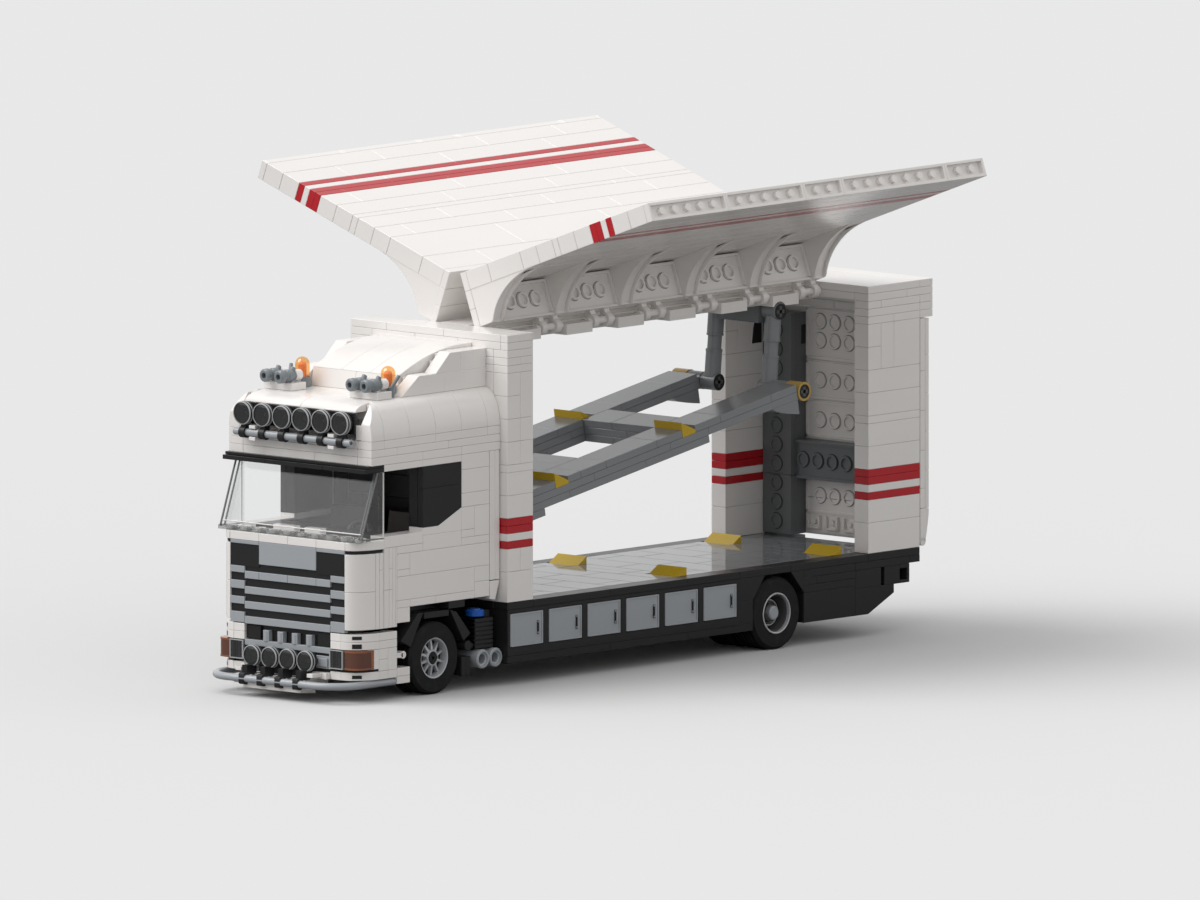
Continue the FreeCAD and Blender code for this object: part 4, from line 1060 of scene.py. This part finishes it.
class TRANSPORTER_OT_cab_roof(bpy.types.Operator):
    """Upper courses, curved side slopes, front slope and roof of the cab"""
    bl_idname = "transporter.cab_roof"
    bl_label = "Cab roof"

    def execute(self, context):
        roof = Piece("cab_roof")
        slit = sizes().slit
        inner, low = CAB_HALF - CAB_ROUND, z(31.2) + slit
        bow = arc(inner, z(31.2), CAB_ROUND, (CAB_TOP_K - 31.2) * PLATE, 0, 90, 12)
        outline = [(inner, low), (CAB_HALF - slit, low)]
        outline += [(px, max(pz, low)) for px, pz in bow[1:]]
        for s0, s1 in pairwise((-10, -9, -7, -5, -3, -1, 0)):
            part = Piece("slope")
            part.prism("white", [(px, y(s0) + slit, pz) for px, pz in outline],
                       (0, (s1 - s0) * STUD - 2 * slit, 0))
            if s0 == -10:
                part.cut((0, y(-10), z(33.3)), (0, -1.0, 0.68))
                part.cut((34, 0, 0), (-1, 0, 0))
            roof.join(part)
        roof.mirror()
        for k0, k1, splits, shift in ((28, 29.1, (-10, -6, -3, 0), 40),
                                      (29.1, 30.1, (-10, -8, -4, 0), 24),
                                      (30.1, 31.2, (-10, -9, -5, -1, 0), 32)):
            roof.row("white", CAB_IN, CAB_HALF, splits, k0, k1)
            roof.course("white", CAB_IN, 40, shift, -10, -9, k0, k1)
        for sides in ((31.1, 34, -10, -9, 31.25, 33.2), (31.1, 34, -9.15, -9, 33.2, 35.7),
                      (32.7, 34, -9.75, -9.15, 33.2, 33.5), (33.1, 34, -9.5, -9.15, 33.6, 34.1),
                      (32.7, 34, -9.3, -9.15, 34.6, 35.2)):
            roof.both("white", *sides)
        half = inner - slit
        slope = [(-9, 34.85), (-10, 34.85)] + arc(-8.2, 34.85, 1.8, 1.25, 180, 90, 10)
        slope += [(-7.6, CAB_TOP_K), (-7.6, 35.2), (-9, 35.2)]
        roof.side_both("white", slope, 0, half)
        for s0, s1, shift in ((-7.6, -4, 32), (-4, 0, 16)):
            roof.course("white", half, 32, shift, s0, s1, 35.1, CAB_TOP_K)
        roof.brick("white", -half, half, -9, -8.2, 33.6, 34.8)
        for i, shift in enumerate((16, 32, 24)):
            roof.course("white", CAB_IN, 32, shift, -1, 0, 28 + i * 2.36, 28 + (i + 1) * 2.36)
        roof.both("white", 16, 32, -8.4, -7.3, CAB_TOP_K, CAB_TOP_K + 1)
        roof.done("truck", "white", "cab_upper")
        return {"FINISHED"}


class TRANSPORTER_OT_fairing(bpy.types.Operator):
    """Wind deflector on the cab's roof: bowed hood and stepped side fairings"""
    bl_idname = "transporter.fairing"
    bl_label = "Fairing"

    def execute(self, context):
        fairing = Piece("wind_deflector")
        top = CAB_TOP_K
        step = top + 2.5
        for inner, points in ((1.5, ((-6.6, top), (-3.2, top), (-3.2, step), (-5.2, step))),
                              (0, band(-3.2, 0, top, step)),
                              (1.5, ((-3.9, step), (-2, step), (-2, step + 2.5),
                                     (-2.8, step + 2.5))),
                              (0, band(-2, 0, step, step + 2.5))):
            fairing.side_both("white", points, CAB_IN - STUD + inner, CAB_IN)
        for s0, s1, k0 in ((-6.1, -5.8, top + 0.8), (-5.5, -5.1, top + 1.7),
                           (-3.4, -3.1, step + 0.8), (-3.0, -2.6, step + 1.7)):
            fairing.both("white", 24.7, 25.5, s0, s1, k0, k0 + 0.6)
        hood = [(-5.65 + 5.1 * u, top + 2.45 + 3.05 * (2 * u - u * u))
                for u in [i / 14 for i in range(15)]]
        hood += [(0, top + 5.5), (0, top + 2.4), (-5.65, top + 2.4)]
        fairing.side("white", hood, -8, 8)
        fairing.side_both("white", hood, 8, 24)
        fairing.side_both("white", ((-5.85, top), (-5, top), (-5, top + 2.4),
                                    (-5.65, top + 2.4)), 0, 24)
        fairing.both("white", 16, 24, -5, 0, top, top + 2.4)
        fairing.done("truck", "white", "roof_fairing")
        return {"FINISHED"}


class TRANSPORTER_OT_bumper(bpy.types.Operator):
    """Bumper with rounded corners, vent slots, claws and the low front plate"""
    bl_idname = "transporter.bumper"
    bl_label = "Bumper"

    def execute(self, context):
        bumper = Piece("front_bumper")
        for k0, k1 in ((0, 1.1), (4.0, 5.05), (5.05, 6.1)):
            corner(bumper, "white", CAB_HALF, 10, -11, 1.6, k0, k1, deep=7)
            bumper.brick("white", 24, 30, -11, -9.9, k0, k1)
        for sides in ((-9.4, -8.7, 0, 1.1), (-8.7, -8, 0, 1.1), (-9.4, -8.7, 1.1, 2.6),
                      (-9.4, -8.7, 2.6, 4), (-8.7, -8, 1.1, 4), (-9.4, -8, 4, 5.05),
                      (-9.4, -8, 5.05, 6.1), (-8, -7, 0.1, 1.2), (-8, -7, -0.9, 0.1)):
            bumper.brick("white", 34, CAB_HALF, *sides)
        corner(bumper, "white", CAB_HALF, 10, -11, 1.6, 1.4, 3.98, 63, 90)
        corner(bumper, "black", CAB_HALF - 0.5, 9.5, -10.95, 1.6, 1.1, 4, deep=1)
        for k, tall in ((0.5, 0.22), (4.5, 0.3), (5.6, 0.22)):
            corner(bumper, "black", CAB_HALF, 10, -11, 1.6, k - tall, k + tall, 29, 50, 0.5,
                   0.08, fine=True)
        x0, x1 = 36.4, CAB_HALF - 0.4
        bumper.rod("white", 1.6, spot(x0, -7.45, 2.8), spot(x1, -7.45, 2.8), 24, fine=False)
        bumper.block("white", x0, x1, y(-8) - 0.4, y(-7.5), z(2.8) - 1, z(2.8) + 1)
        for name, *sides in (("black", 24, 33, -10.6, -9.9, 1.1, 4),
                             ("light_grey", 16, 24, -11, -10.8, 1.3, 3),
                             ("light_grey", 17, 23, -11.1, -11, 1.6, 2.7),
                             ("white", 16, 24, -11.3, -10, 0, 0.9),
                             ("white", 18.3, 21.7, -12.05, -11.3, 0.3, 0.85),
                             ("white", 18.3, 21.7, -12.05, -11.3, -1.2, -0.65),
                             ("black", 0, 24, -10.95, -9.9, 0, 3.3),
                             ("white", 0, 16, -11.6, -10, -1, 0)):
            bumper.brick(name, *sides)
        bumper.mirror()
        bumper.side("white", ((-12.2, -1.75), (-12.2, -1), (-11, -1), (-11, -2)), -16, 16)
        bumper.done("truck", "white", "bumper")
        return {"FINISHED"}


class TRANSPORTER_OT_grille(bpy.types.Operator):
    """Grille: grey slats and panel tiles over black, with four short uprights"""
    bl_idname = "transporter.grille"
    bl_label = "Grille"

    def execute(self, context):
        slats = Piece("grille_tiles")
        narrow, mid, wide = CAB_IN - 2 * STUD, CAB_IN - STUD, CAB_IN
        slats.brick("light_grey", -narrow, narrow, -11, -10.7, 14, 17)
        slats.both("light_grey", narrow, wide, -11, -10.7, 16.5, 17)
        slats.both("light_grey", 0, 16, -11, -10.7, 12, 13)
        slats.both("light_grey", 16, mid, -11, -10.7, 12, 13)
        for k0, k1 in ((10, 11), (8.05, 9.05), (6.1, 7.1), (3.3, 4.1)):
            slats.brick("light_grey", -mid, mid, -11, -10.7, k0, k1)
        for k0, k1 in ((12.7, 13.6), (10.6, 11.7), (8.6, 9.6), (6.2, 7.6)):
            slats.both("light_grey", mid, wide, -11, -10.7, k0, k1)
        for k in (13, 11, 9.05, 7.1):
            slats.brick("black", -mid, mid, -10.9, -10.7, k, k + 0.95)
        for k0, k1 in ((13.6, 16.5), (11.7, 12.7), (9.6, 10.6), (7.6, 8.6)):
            slats.both("black", mid, wide, -10.9, -10.7, k0, k1)
        slats.both("black", narrow, mid, -10.9, -10.7, 14, 16.5)
        for px in (-12, -4, 4, 12):
            slats.block("light_grey", px - 1.6, px + 1.6, y(-11), y(-10.7), z(4.05), z(5.5))
            slats.rod("light_grey", 1.6, spot(px, -10.85, 4.1), spot(px, -10.85, 5.4), 20)
        slats.both("black", mid - 8, mid, -10.85, -10.7, 4.2, 6)
        slats.done("truck", "light_grey", "grille_slats")
        return {"FINISHED"}


LAMP_PITCH = 10.9
BAR_REACH = 98.4
HORN = ((0, 1.2), (0, 2.1), (0.6, 2.75), (2.4, 2.85), (3.4, 2.2), (4.6, 2.2), (5.2, 2.7),
        (7.6, 2.7), (8.3, 1.9), (11.8, 1.7), (11.8, 0), (3.2, 0), (2.2, 1.2))


def lamp(body, lens, centre, r, deep):
    """A round lamp that looks forward: black cup, dark reflector, rims and smoke lens."""
    cup = ((0, r - 0.55), (0, r - 0.1), (deep * 0.5, r), (deep, r * 0.7), (deep, 0),
           (deep - 0.7, 0), (deep * 0.55, r * 0.55), (deep * 0.3, r - 0.9))
    body.lathe("black", cup, centre, (0, 1, 0), 36)
    # The pale grey rims are painted highlight: they stand for light caught in the clear lens's edge.
    for at, outer, thick in ((-0.4, r, 0.42), (0.9, r + 0.12, 0.5)):
        body.lathe("rim_clear", ((at, outer - thick), (at + 0.1, outer - 0.1), (at + 0.5, outer),
                                 (at + 0.7, outer - thick)), centre, (0, 1, 0), 36)
    body.rod("silver", r * 0.3, centre + Vector((0, deep - 0.8, 0)),
             centre + Vector((0, deep * 0.5, 0)), 20, r * 0.16)
    lens.lathe("smoke", ((-0.1, 0), (-0.25, 0), (-0.15, r * 0.6), (0, r - 0.5), (0.15, r - 0.5)),
               centre, (0, 1, 0), 36)


def horns(bars):
    """Air horns and beacon feet on the left half of the cab's roof."""
    roof, foot, high = CAB_TOP_K, CAB_TOP_K + 0.9, CAB_TOP_K + 1.86
    blue = "steel_blue"
    for px in (20, 28):
        bars.lathe(blue, HORN, spot(px, -8.95, high), (0, 1, 0), 28)
        bars.rod(blue, 1.1, (px, y(-7.9), z(high) + 1.6), (px, y(-7.75), z(high) + 3.1), 16)
        bars.tube("white", 2.3, 1.6, spot(px, -7.75, high), spot(px, -7.3, high), 24)
    bars.rod(blue, 1.5, spot(20, -8.15, high), spot(28, -8.15, high), 20)
    bars.block("light_grey", 21, 27, y(-7.45), y(-7.0), z(roof + 0.05), z(roof + 1.2))
    bars.rod(blue, 3.5, spot(24, -6.5, roof), spot(24, -6.5, foot), 28)
    bars.tube(blue, 3.5, 3.05, spot(24, -6.5, foot), spot(24, -6.5, roof + 1.3), 28)
    bars.rod(blue, 0.8, spot(28.4, -6.9, 37.2), spot(30.2, -6.5, 38.9), 14)
    bars.rod(blue, 1.5, spot(28.4, -6.9, roof), spot(28.4, -6.9, 37.4), 16)


class TRANSPORTER_OT_lamps(bpy.types.Operator):
    """Lamp bars, spot lamps, headlamps, horns and beacons"""
    bl_idname = "transporter.lamps"
    bl_label = "Lamps"

    def execute(self, context):
        cups = Piece("lamp_cups")
        glass = Piece("lamp_glasses")
        bars = Piece("lamp_bar_set")
        horns(bars)
        bars.mirror()
        face = y(-10)
        lamp_z, bar_z = z(33.5), z(31)
        for i in range(6):
            px = (i - 2.5) * LAMP_PITCH
            lamp(cups, glass, Vector((px, face - 5.8, lamp_z)), 4.9, 4.7)
            cups.tube("black", 2.5, 1.6, (px - 1.5, face - 4.2, bar_z),
                      (px + 1.5, face - 4.2, bar_z), 24)
            cups.block("black", px - 1.3, px + 1.3, face - 5.2, face - 2.2, bar_z + 1.9,
                       lamp_z - 3.6, fine=True)
            cups.block("black", px - 1.3, px + 1.3, face - 3.2, face, bar_z - 1, bar_z + 1)
        cups.block("black", -31.2, 31.2, face - 1, face, z(32), z(34.8))
        bars.tube("light_grey", 1.6, 0.8, (-32.5, face - 4.2, bar_z), (32.5, face - 4.2, bar_z), 24)
        for px in (-22, 22):
            for k0, k1 in ((31.55, 32.0), (30.0, 30.45)):
                bars.block("white", px - 1.7, px + 1.7, face - 5.6, face - 2.8, z(k0), z(k1))

        spot_z, low_z = z(2.3), z(-0.55)
        low_y = y(0) - BAR_REACH
        clip = arc(low_y, low_z, 2.5, 2.5, 126, -126, 18)
        clip += [(low_y - 1.55, low_z - 1.9), (low_y - 1.55, low_z + 1.9)]
        for px in (-15, -5, 5, 15):
            lamp(cups, glass, Vector((px, y(-11.72), spot_z)), 4.45, 4.6)
            cups.prism("black", [(px - 1.5, py, pz) for py, pz in clip], (3, 0, 0), fine=True)
            cups.block("black", px - 1.4, px + 1.4, low_y + 0.6, y(-11.5), low_z + 1.4,
                       spot_z - 3.6, fine=True)
        for px in (-20.2, 20.2):
            bars.block("white", px - 1.5, px + 1.5, low_y + 1.2, low_y + 8.5, low_z - 2.2,
                       low_z - 1.0)
        side_x, bend = CAB_HALF - 2, 14
        half = [(side_x, y(-8) + 0.1)] + arc(side_x - bend, low_y + bend, bend, bend, 0, -90, 12)
        bars.sweep("light_grey", 1.59, [(px, py, low_z) for px, py in half]
                   + [(-px, py, low_z) for px, py in half[::-1]])

        head = Piece("headlamps")
        x0, x1 = 24.2, 31.6
        head.block("silver", x0 + 0.6, x1 - 0.6, y(-10.7), y(-10.6), z(1.6), z(3.8))
        # The pale grey frame is painted highlight: it stands for light caught in the clear lens's edge.
        for a0, a1, k0, k1 in ((x0, x1, 1.45, 1.58), (x0, x1, 3.82, 3.95),
                               (x0, x0 + 0.45, 1.58, 3.82), (x1 - 0.45, x1, 1.58, 3.82)):
            head.block("rim_clear", a0, a1, y(-11.1), y(-10.9), z(k0), z(k1), fine=True)
        for px in (26, 28, 30):
            head.block("steel_grey", px - 0.35, px + 0.35, y(-10.72), y(-10.65), z(1.7), z(3.7),
                       fine=True)
        head.mirror()
        for a0, a1 in ((x0, x1), (-x1, -x0)):
            glass.block("smoke", a0, a1, y(-11.05), y(-10.85), z(1.45), z(3.95))

        amber = Piece("amber_lamps")
        out, front = CAB_HALF - 0.3, y(-11)
        bow = arc(out - 4.5, front + 4.5, 4.5, 4.5, -90, 0, 6)
        for name, k0, k1, proud, back in (("lens", 1.5, 3.9, 0, 8.2),
                                          ("lens_edge", 1.45, 1.7, 0.12, 9.8),
                                          ("lens_edge", 3.7, 3.95, 0.12, 9.8)):
            plan = [(32, front - proud)] + [(px + proud, py - proud) for px, py in bow]
            plan += [(out + proud, front + back), (out - 3, front + back), (32, front + 6)]
            amber.prism(name, [(px, py, z(k0)) for px, py in plan], (0, 0, (k1 - k0) * PLATE),
                        fine=True)
        amber.block("lens_edge", out - 3, out + 0.1, front + 8.2, front + 9.8, z(1.7), z(3.7),
                    fine=True)
        for name, r, tall in (("amber", 3.05, 9.3), ("amber_core", 1.8, 7.4)):
            dome = [(0, 0), (0, r)] + arc(tall - r, 0, r, r, 90, 0, 8)
            amber.lathe(name, dome, spot(24, -6.5, CAB_TOP_K + 1), (0, 0, 1), 28)
        amber.mirror()
        cups.done("truck", "black", "lamp_housings")
        bars.done("truck", "light_grey", "lamp_bars")
        head.done("truck", "rim")
        glass.done("truck", "clear", "lamp_lenses")
        amber.done("truck", "amber", "amber_lenses")
        return {"FINISHED"}


class TRANSPORTER_OT_screen(bpy.types.Operator):
    """Edges of the clear windscreen, its foot with studs below, and the visor"""
    bl_idname = "transporter.screen"
    bl_label = "Windscreen"

    def execute(self, context):
        screen = Piece("screen_foot")
        # The white rod along each pane's rear edge is a painted highlight: it stands for the bright line of light
        # there.
        for name, r, inset, a, b in (
                ("edge", 0.45, 0.2, (-10.72, 18.5), (-9.48, 27.05)),
                ("edge", 0.4, 2, (-10.66, 18.5), (-9.42, 27.05)),
                ("white", 0.3, 0, (-9.04, 18.4), (-9.04, 27.05)),
                ("edge", 0.3, 0, (-10.72, 18.5), (-9.04, 18.4))):
            px = CAB_HALF - 0.35 - inset
            screen.rod(name, r, spot(px, *a), spot(px, *b), 10)
        screen.mirror()
        screen.block("foot", -39.2, 39.2, y(-10.95), y(-10.5), z(18.12), z(18.7))
        # Painted highlight: a thin white rod along the pane's lower edge stands for the bright line of light
        # there.
        screen.rod("white", 0.25, spot(-38.6, -10.64, 19.2), spot(38.6, -10.64, 19.2), 10)
        for px in range(-36, 40, 8):
            screen.rod("white", 2.4, spot(px, -10.3, 18.1), spot(px, -10.3, 18.6), 20)
        for x0, x1, *sides in ((-32, 32, -10, -8.9, 17.4, 18.1), (-16, -4, -9.9, -9.4, 18.1, 19.1),
                               (1.5, 10.5, -9.9, -9.4, 18.1, 19.1)):
            screen.brick("white", x0, x1, *sides)
        screen.done("truck", "clear")

        trim = Piece("visor_and_panels")
        trim.brick("black", -16, 16, -10.5, -9, 27.1, 27.7)
        trim.both("black", 16, CAB_HALF, -10.5, -9, 27.1, 27.7)
        trim.brick("black", -CAB_HALF, CAB_HALF, -10.3, -9, 27.7, 28.1)
        for points in (band(-6, -3, 24.2, 27.1),
                       ((-6, 24.2), (-3, 24.2), (-3, 21.1), (-4.8, 19.1), (-6, 19.1))):
            trim.side_both("black", points, CAB_PANEL_IN, CAB_HALF)
        trim.done("truck", "black", "cab_trim")
        return {"FINISHED"}


# Wheels: profiles run along the axle, from the rim's outer face at 0

def front_rim(rim, hub, deep):
    """A spoked rim with a hub and the end of its cross axle."""
    for name, steps, profile in (
            ("silver", 48, ((deep, 7.6), (deep, 8.6), (0.2, 8.6), (0.35, 8.4), (0.2, 7.95),
                            (-1, 7.6))),
            ("black", 40, band(deep + 4, -3.2, 2.6, 7.4)),
            ("silver", 32, ((deep + 5, 2.7), (deep + 5, 3.5), (-0.9, 3.5), (-0.5, 3.2),
                            (-0.5, 2.7))),
            ("silver", 24, band(-3, -1.3, 1.0, 2.75))):
        rim.lathe(name, profile, hub, (1, 0, 0), steps)
    for i in range(10):
        spoke = Piece("spoke")
        spoke.prism("silver", ((-1.0, -0.55, 3.2), (-1.0, 0.55, 3.2), (-1.7, 0.42, 7.5),
                               (-1.7, -0.42, 7.5)), (-1.6, 0, 0), fine=True)
        spoke.turn(36 * i, (0, 0, 0), "X")
        spoke.move(hub)
        rim.join(spoke)
    for wide, tall in ((2.7, 0.6), (0.6, 2.7)):
        rim.block("black", hub.x - 1.4, hub.x - 0.35, hub.y - wide, hub.y + wide, hub.z - tall,
                  hub.z + tall, fine=True)


def rear_rim(rim, hub):
    """A deep dished rim with a cap and bolts, and the inner rim of the pair."""
    for name, steps, profile in (
            ("silver", 48, ((-1.2, 7.9), (-1.2, 8.6), (0.2, 8.6), (0.35, 8.35), (0.2, 7.95))),
            ("steel_grey", 40, band(-12.6, -1.25, 7.5, 8.6)),
            ("silver", 40, band(-8, -4.2, 5.1, 5.5)),
            ("silver", 40, band(13.5 - hub.x, 26.5 - hub.x, 7.3, 8.6)),
            ("steel_grey", 40, ((-9.5, 2.45), (-9.5, 7.4), (-7.5, 7.4), (-8.2, 5.6), (-8.2, 4.2),
                                (-3.0, 3.6), (-2.6, 3.2), (-2.6, 0), (-4, 0), (-4, 2.45))),
            ("light_grey", 28, ((-2.7, 0), (-2.7, 2.9), (-1.5, 2.9), (-1.1, 2.4), (-1.1, 0)))):
        rim.lathe(name, profile, hub, (1, 0, 0), steps)
    for py, pz in arc(hub.y, hub.z, 4.9, 4.9, 0, 315, 7):
        rim.rod("silver", 0.6, (hub.x - 8.1, py, pz), (hub.x - 7.2, py, pz), 10)


class TRANSPORTER_OT_wheels(bpy.types.Operator):
    """Rims: spoked in front, deep dished at the back, each on its own wheel"""
    bl_idname = "transporter.wheels"
    bl_label = "Wheels"

    def execute(self, context):
        for end in ("front", "rear"):
            for side in ("left", "right"):
                low, high = (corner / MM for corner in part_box("rim_%s_%s" % (end, side)))
                x0, x1 = sorted((abs(low.x), abs(high.x)))
                hub = joint_place("wheel_%s_%s_spin" % (end, side))
                rim = Piece("wheel_rim_%s_%s" % (end, side))
                if end == "front":
                    front_rim(rim, Vector((x1, hub.y, hub.z)), x0 - x1)
                else:
                    rear_rim(rim, Vector((x1 - 0.6, hub.y, hub.z)))
                if side == "right":
                    rim = rim.twin(rim.name)
                rim.done("wheel_%s_%s" % (end, side), "rim", "rim_%s_%s" % (end, side))
        return {"FINISHED"}


# Under the cab

class TRANSPORTER_OT_under_cab(bpy.types.Operator):
    """Three-part mudguards, ribbed cases, steps, tank ends and caps behind the front wheels"""
    bl_idname = "transporter.under_cab"
    bl_label = "Under the cab"

    def execute(self, context):
        guards = Piece("mudguard_parts")
        low, deep = CAB_HALF - 16, CAB_HALF - 20
        guards.rod("black", 2.1, spot(low, -2.43, 2.85), spot(CAB_HALF - 0.4, -2.43, 2.85), 24,
                   fine=False)
        guards.mirror()
        for points in (((-7.7, 4.6), (-6.35, 8), (-5.97, 7.95), (-6.95, 3.75)),
                       band(-5.9, -3.98, 7.15, 7.95),
                       ((-3.9, 7.9), (-3.4, 7.55), (-2.3, 4.45), (-2.85, 3.6))):
            guards.side_both("black", points, low, CAB_HALF)
        for sides in ((CAB_IN, CAB_HALF, -4, -2.75, 8.02, 9),
                      (deep, CAB_HALF - 0.7, -1.94, -0.55, 2.3, 6.2),
                      (deep, CAB_HALF - 2, -0.98, -0.55, 6.2, 7.1),
                      (low, CAB_HALF, -3, -2.66, -1, 1.5), (low, CAB_HALF, -2.66, -2.3, -1, 1.5),
                      (low, CAB_IN, -2.9, -2.3, 1.5, 4.6),
                      (low, CAB_HALF - 1, -2.45, -1.94, 2.45, 3.1)):
            guards.both("black", *sides)
        for i in range(7):
            k = 2.3 + i * 0.57
            guards.both("black", deep, CAB_HALF, -1.94, -0.55, k, k + 0.5)
        tanks = Piece("tank_ends")
        long = CAB_HALF - 10.6
        tank = ((0, 0), (0, 3.9), (0.35, 4.0), (long - 0.4, 4.0), (long, 3.6), (long, 2.9),
                (long - 0.8, 2.7), (long - 1, 2.1), (long - 5.8, 2.1), (long - 5.8, 0))
        for s in (-1.54, -0.54):
            tanks.lathe("light_grey", tank, spot(12.2, s, 0.95), (1, 0, 0), 36)
        caps = Piece("tank_caps")
        cap = ((0, 0), (0, 4), (2.3, 4), (2.6, 3.7), (2.6, 2.5), (3.0, 2.3), (3.0, 0))
        caps.lathe("blue", cap, spot(CAB_HALF - 4, -1.45, 6.5), (0, 0, 1))
        for piece in (tanks, caps):
            piece.mirror()
        guards.done("truck", "black", "mudguards")
        tanks.done("truck", "light_grey", "air_tanks")
        caps.done("truck", "blue", "fuel_cap")
        return {"FINISHED"}


# The rest of the frame

SLOT_FINISHES = {"deck_grey": "mid_grey", "tyre": "rubber", "rim": "silver", "clear": "screen"}


class TRANSPORTER_OT_finishes(bpy.types.Operator):
    """Gives the frame's own parts their moulded finishes"""
    bl_idname = "transporter.finishes"
    bl_label = "Finishes"

    def execute(self, context):
        slots = {part["node"]: part["material_slot"] for part in frame["record"]["subparts"]}
        slots["lift_arms"] = "mid_grey"
        for name, node in frame["nodes"].items():
            made = finish(SLOT_FINISHES.get(slots[name], slots[name]))
            for slot in node.material_slots:
                slot.material = made
        return {"FINISHED"}


# Studio

VIEW = Vector((0.6648, -0.7369, 0.1227))
TARGET = Vector((0, 0.02415, 0.0857))
LIGHT = Vector((-0.40, -0.50, 0.77))
BOUNCE = (0.25, 0.25, 0.25)


class TRANSPORTER_OT_studio(bpy.types.Operator):
    """Pale floor, soft lights and the camera"""
    bl_idname = "transporter.studio"
    bl_label = "Studio"

    def execute(self, context):
        scene = context.scene
        scene.view_settings.view_transform = "Standard"
        part = bmesh.new()
        bmesh.ops.create_grid(part, x_segments=1, y_segments=1, size=12)
        mesh = bpy.data.meshes.new("floor")
        part.to_mesh(mesh)
        part.free()
        floor = bpy.data.objects.new("floor", mesh)
        scene.collection.objects.link(floor)
        shader = Shader("studio_floor")
        grain = shader.noise(900, 2)
        seen = shader.node("ShaderNodeBsdfDiffuse",
                           {"Color": shader.shades(grain, colours().floor, 0.997, 1.003)})
        lit = shader.node("ShaderNodeBsdfDiffuse",
                          {"Color": shader.shades(grain, BOUNCE, 0.99, 1.01)})
        ray = shader.node("ShaderNodeLightPath", output="Is Camera Ray")
        through = shader.node("ShaderNodeLightPath", output="Is Transmission Ray")
        mixed = shader.node("ShaderNodeMixShader",
                            {0: ray.math("MAXIMUM", ray, through), 1: lit, 2: seen})
        mesh.materials.append(shader.end(mixed))

        world = bpy.data.worlds.new("studio")
        world.use_nodes = True
        scene.world = world
        back = world.node_tree.nodes["Background"]
        back.inputs["Color"].default_value = (1, 1, 1, 1)
        back.inputs["Strength"].default_value = sizes().sky

        light = bpy.data.lights.new("soft_key", "SUN")
        light.energy = sizes().key
        light.angle = math.radians(48)
        key = bpy.data.objects.new("soft_key", light)
        scene.collection.objects.link(key)
        key.rotation_euler = (-LIGHT).to_track_quat("-Z", "Y").to_euler()

        camera = bpy.data.cameras.new("camera")
        camera.type = "ORTHO"
        camera.ortho_scale = sizes().camera_width
        camera.clip_end = 50
        made = bpy.data.objects.new("camera", camera)
        scene.collection.objects.link(made)
        made.location = TARGET + VIEW.normalized() * 2
        made.rotation_euler = (-VIEW).to_track_quat("-Z", "Y").to_euler()
        scene.camera = made
        return {"FINISHED"}


OPERATORS = (
    TRANSPORTER_OT_front_wall, TRANSPORTER_OT_red_bands, TRANSPORTER_OT_rear_frame,
    TRANSPORTER_OT_deck, TRANSPORTER_OT_locker_doors, TRANSPORTER_OT_wings,
    TRANSPORTER_OT_upper_deck, TRANSPORTER_OT_pins, TRANSPORTER_OT_tailgate,
    TRANSPORTER_OT_cab_body, TRANSPORTER_OT_cab_roof, TRANSPORTER_OT_fairing,
    TRANSPORTER_OT_bumper, TRANSPORTER_OT_grille, TRANSPORTER_OT_lamps,
    TRANSPORTER_OT_screen, TRANSPORTER_OT_wheels, TRANSPORTER_OT_under_cab,
    TRANSPORTER_OT_finishes, TRANSPORTER_OT_studio)


class TRANSPORTER_PT_panel(bpy.types.Panel):
    """Lists the steps that build the transporter, with its sizes and colours"""
    bl_idname = "TRANSPORTER_PT_panel"
    bl_label = "Toy car transporter"
    bl_space_type = "VIEW_3D"
    bl_region_type = "UI"
    bl_category = "Transporter"

    def draw(self, context):
        for group in (context.scene.transporter_sizes, context.scene.transporter_colours):
            box = self.layout.box()
            for name in group.__annotations__:
                box.prop(group, name)
        for operator in OPERATORS:
            self.layout.operator(operator.bl_idname)


CLASSES = (TransporterSizes, TransporterColours) + OPERATORS + (TRANSPORTER_PT_panel,)


def register():
    for item in CLASSES:
        bpy.utils.register_class(item)
    bpy.types.Scene.transporter_sizes = PointerProperty(type=TransporterSizes)
    bpy.types.Scene.transporter_colours = PointerProperty(type=TransporterColours)


def unregister():
    del bpy.types.Scene.transporter_colours
    del bpy.types.Scene.transporter_sizes
    for item in reversed(CLASSES):
        bpy.utils.unregister_class(item)


def main():
    """Builds the whole model."""
    register()
    for operator in OPERATORS:
        group, name = operator.bl_idname.split(".")
        getattr(getattr(bpy.ops, group), name)()


if __name__ == "__main__":
    main()
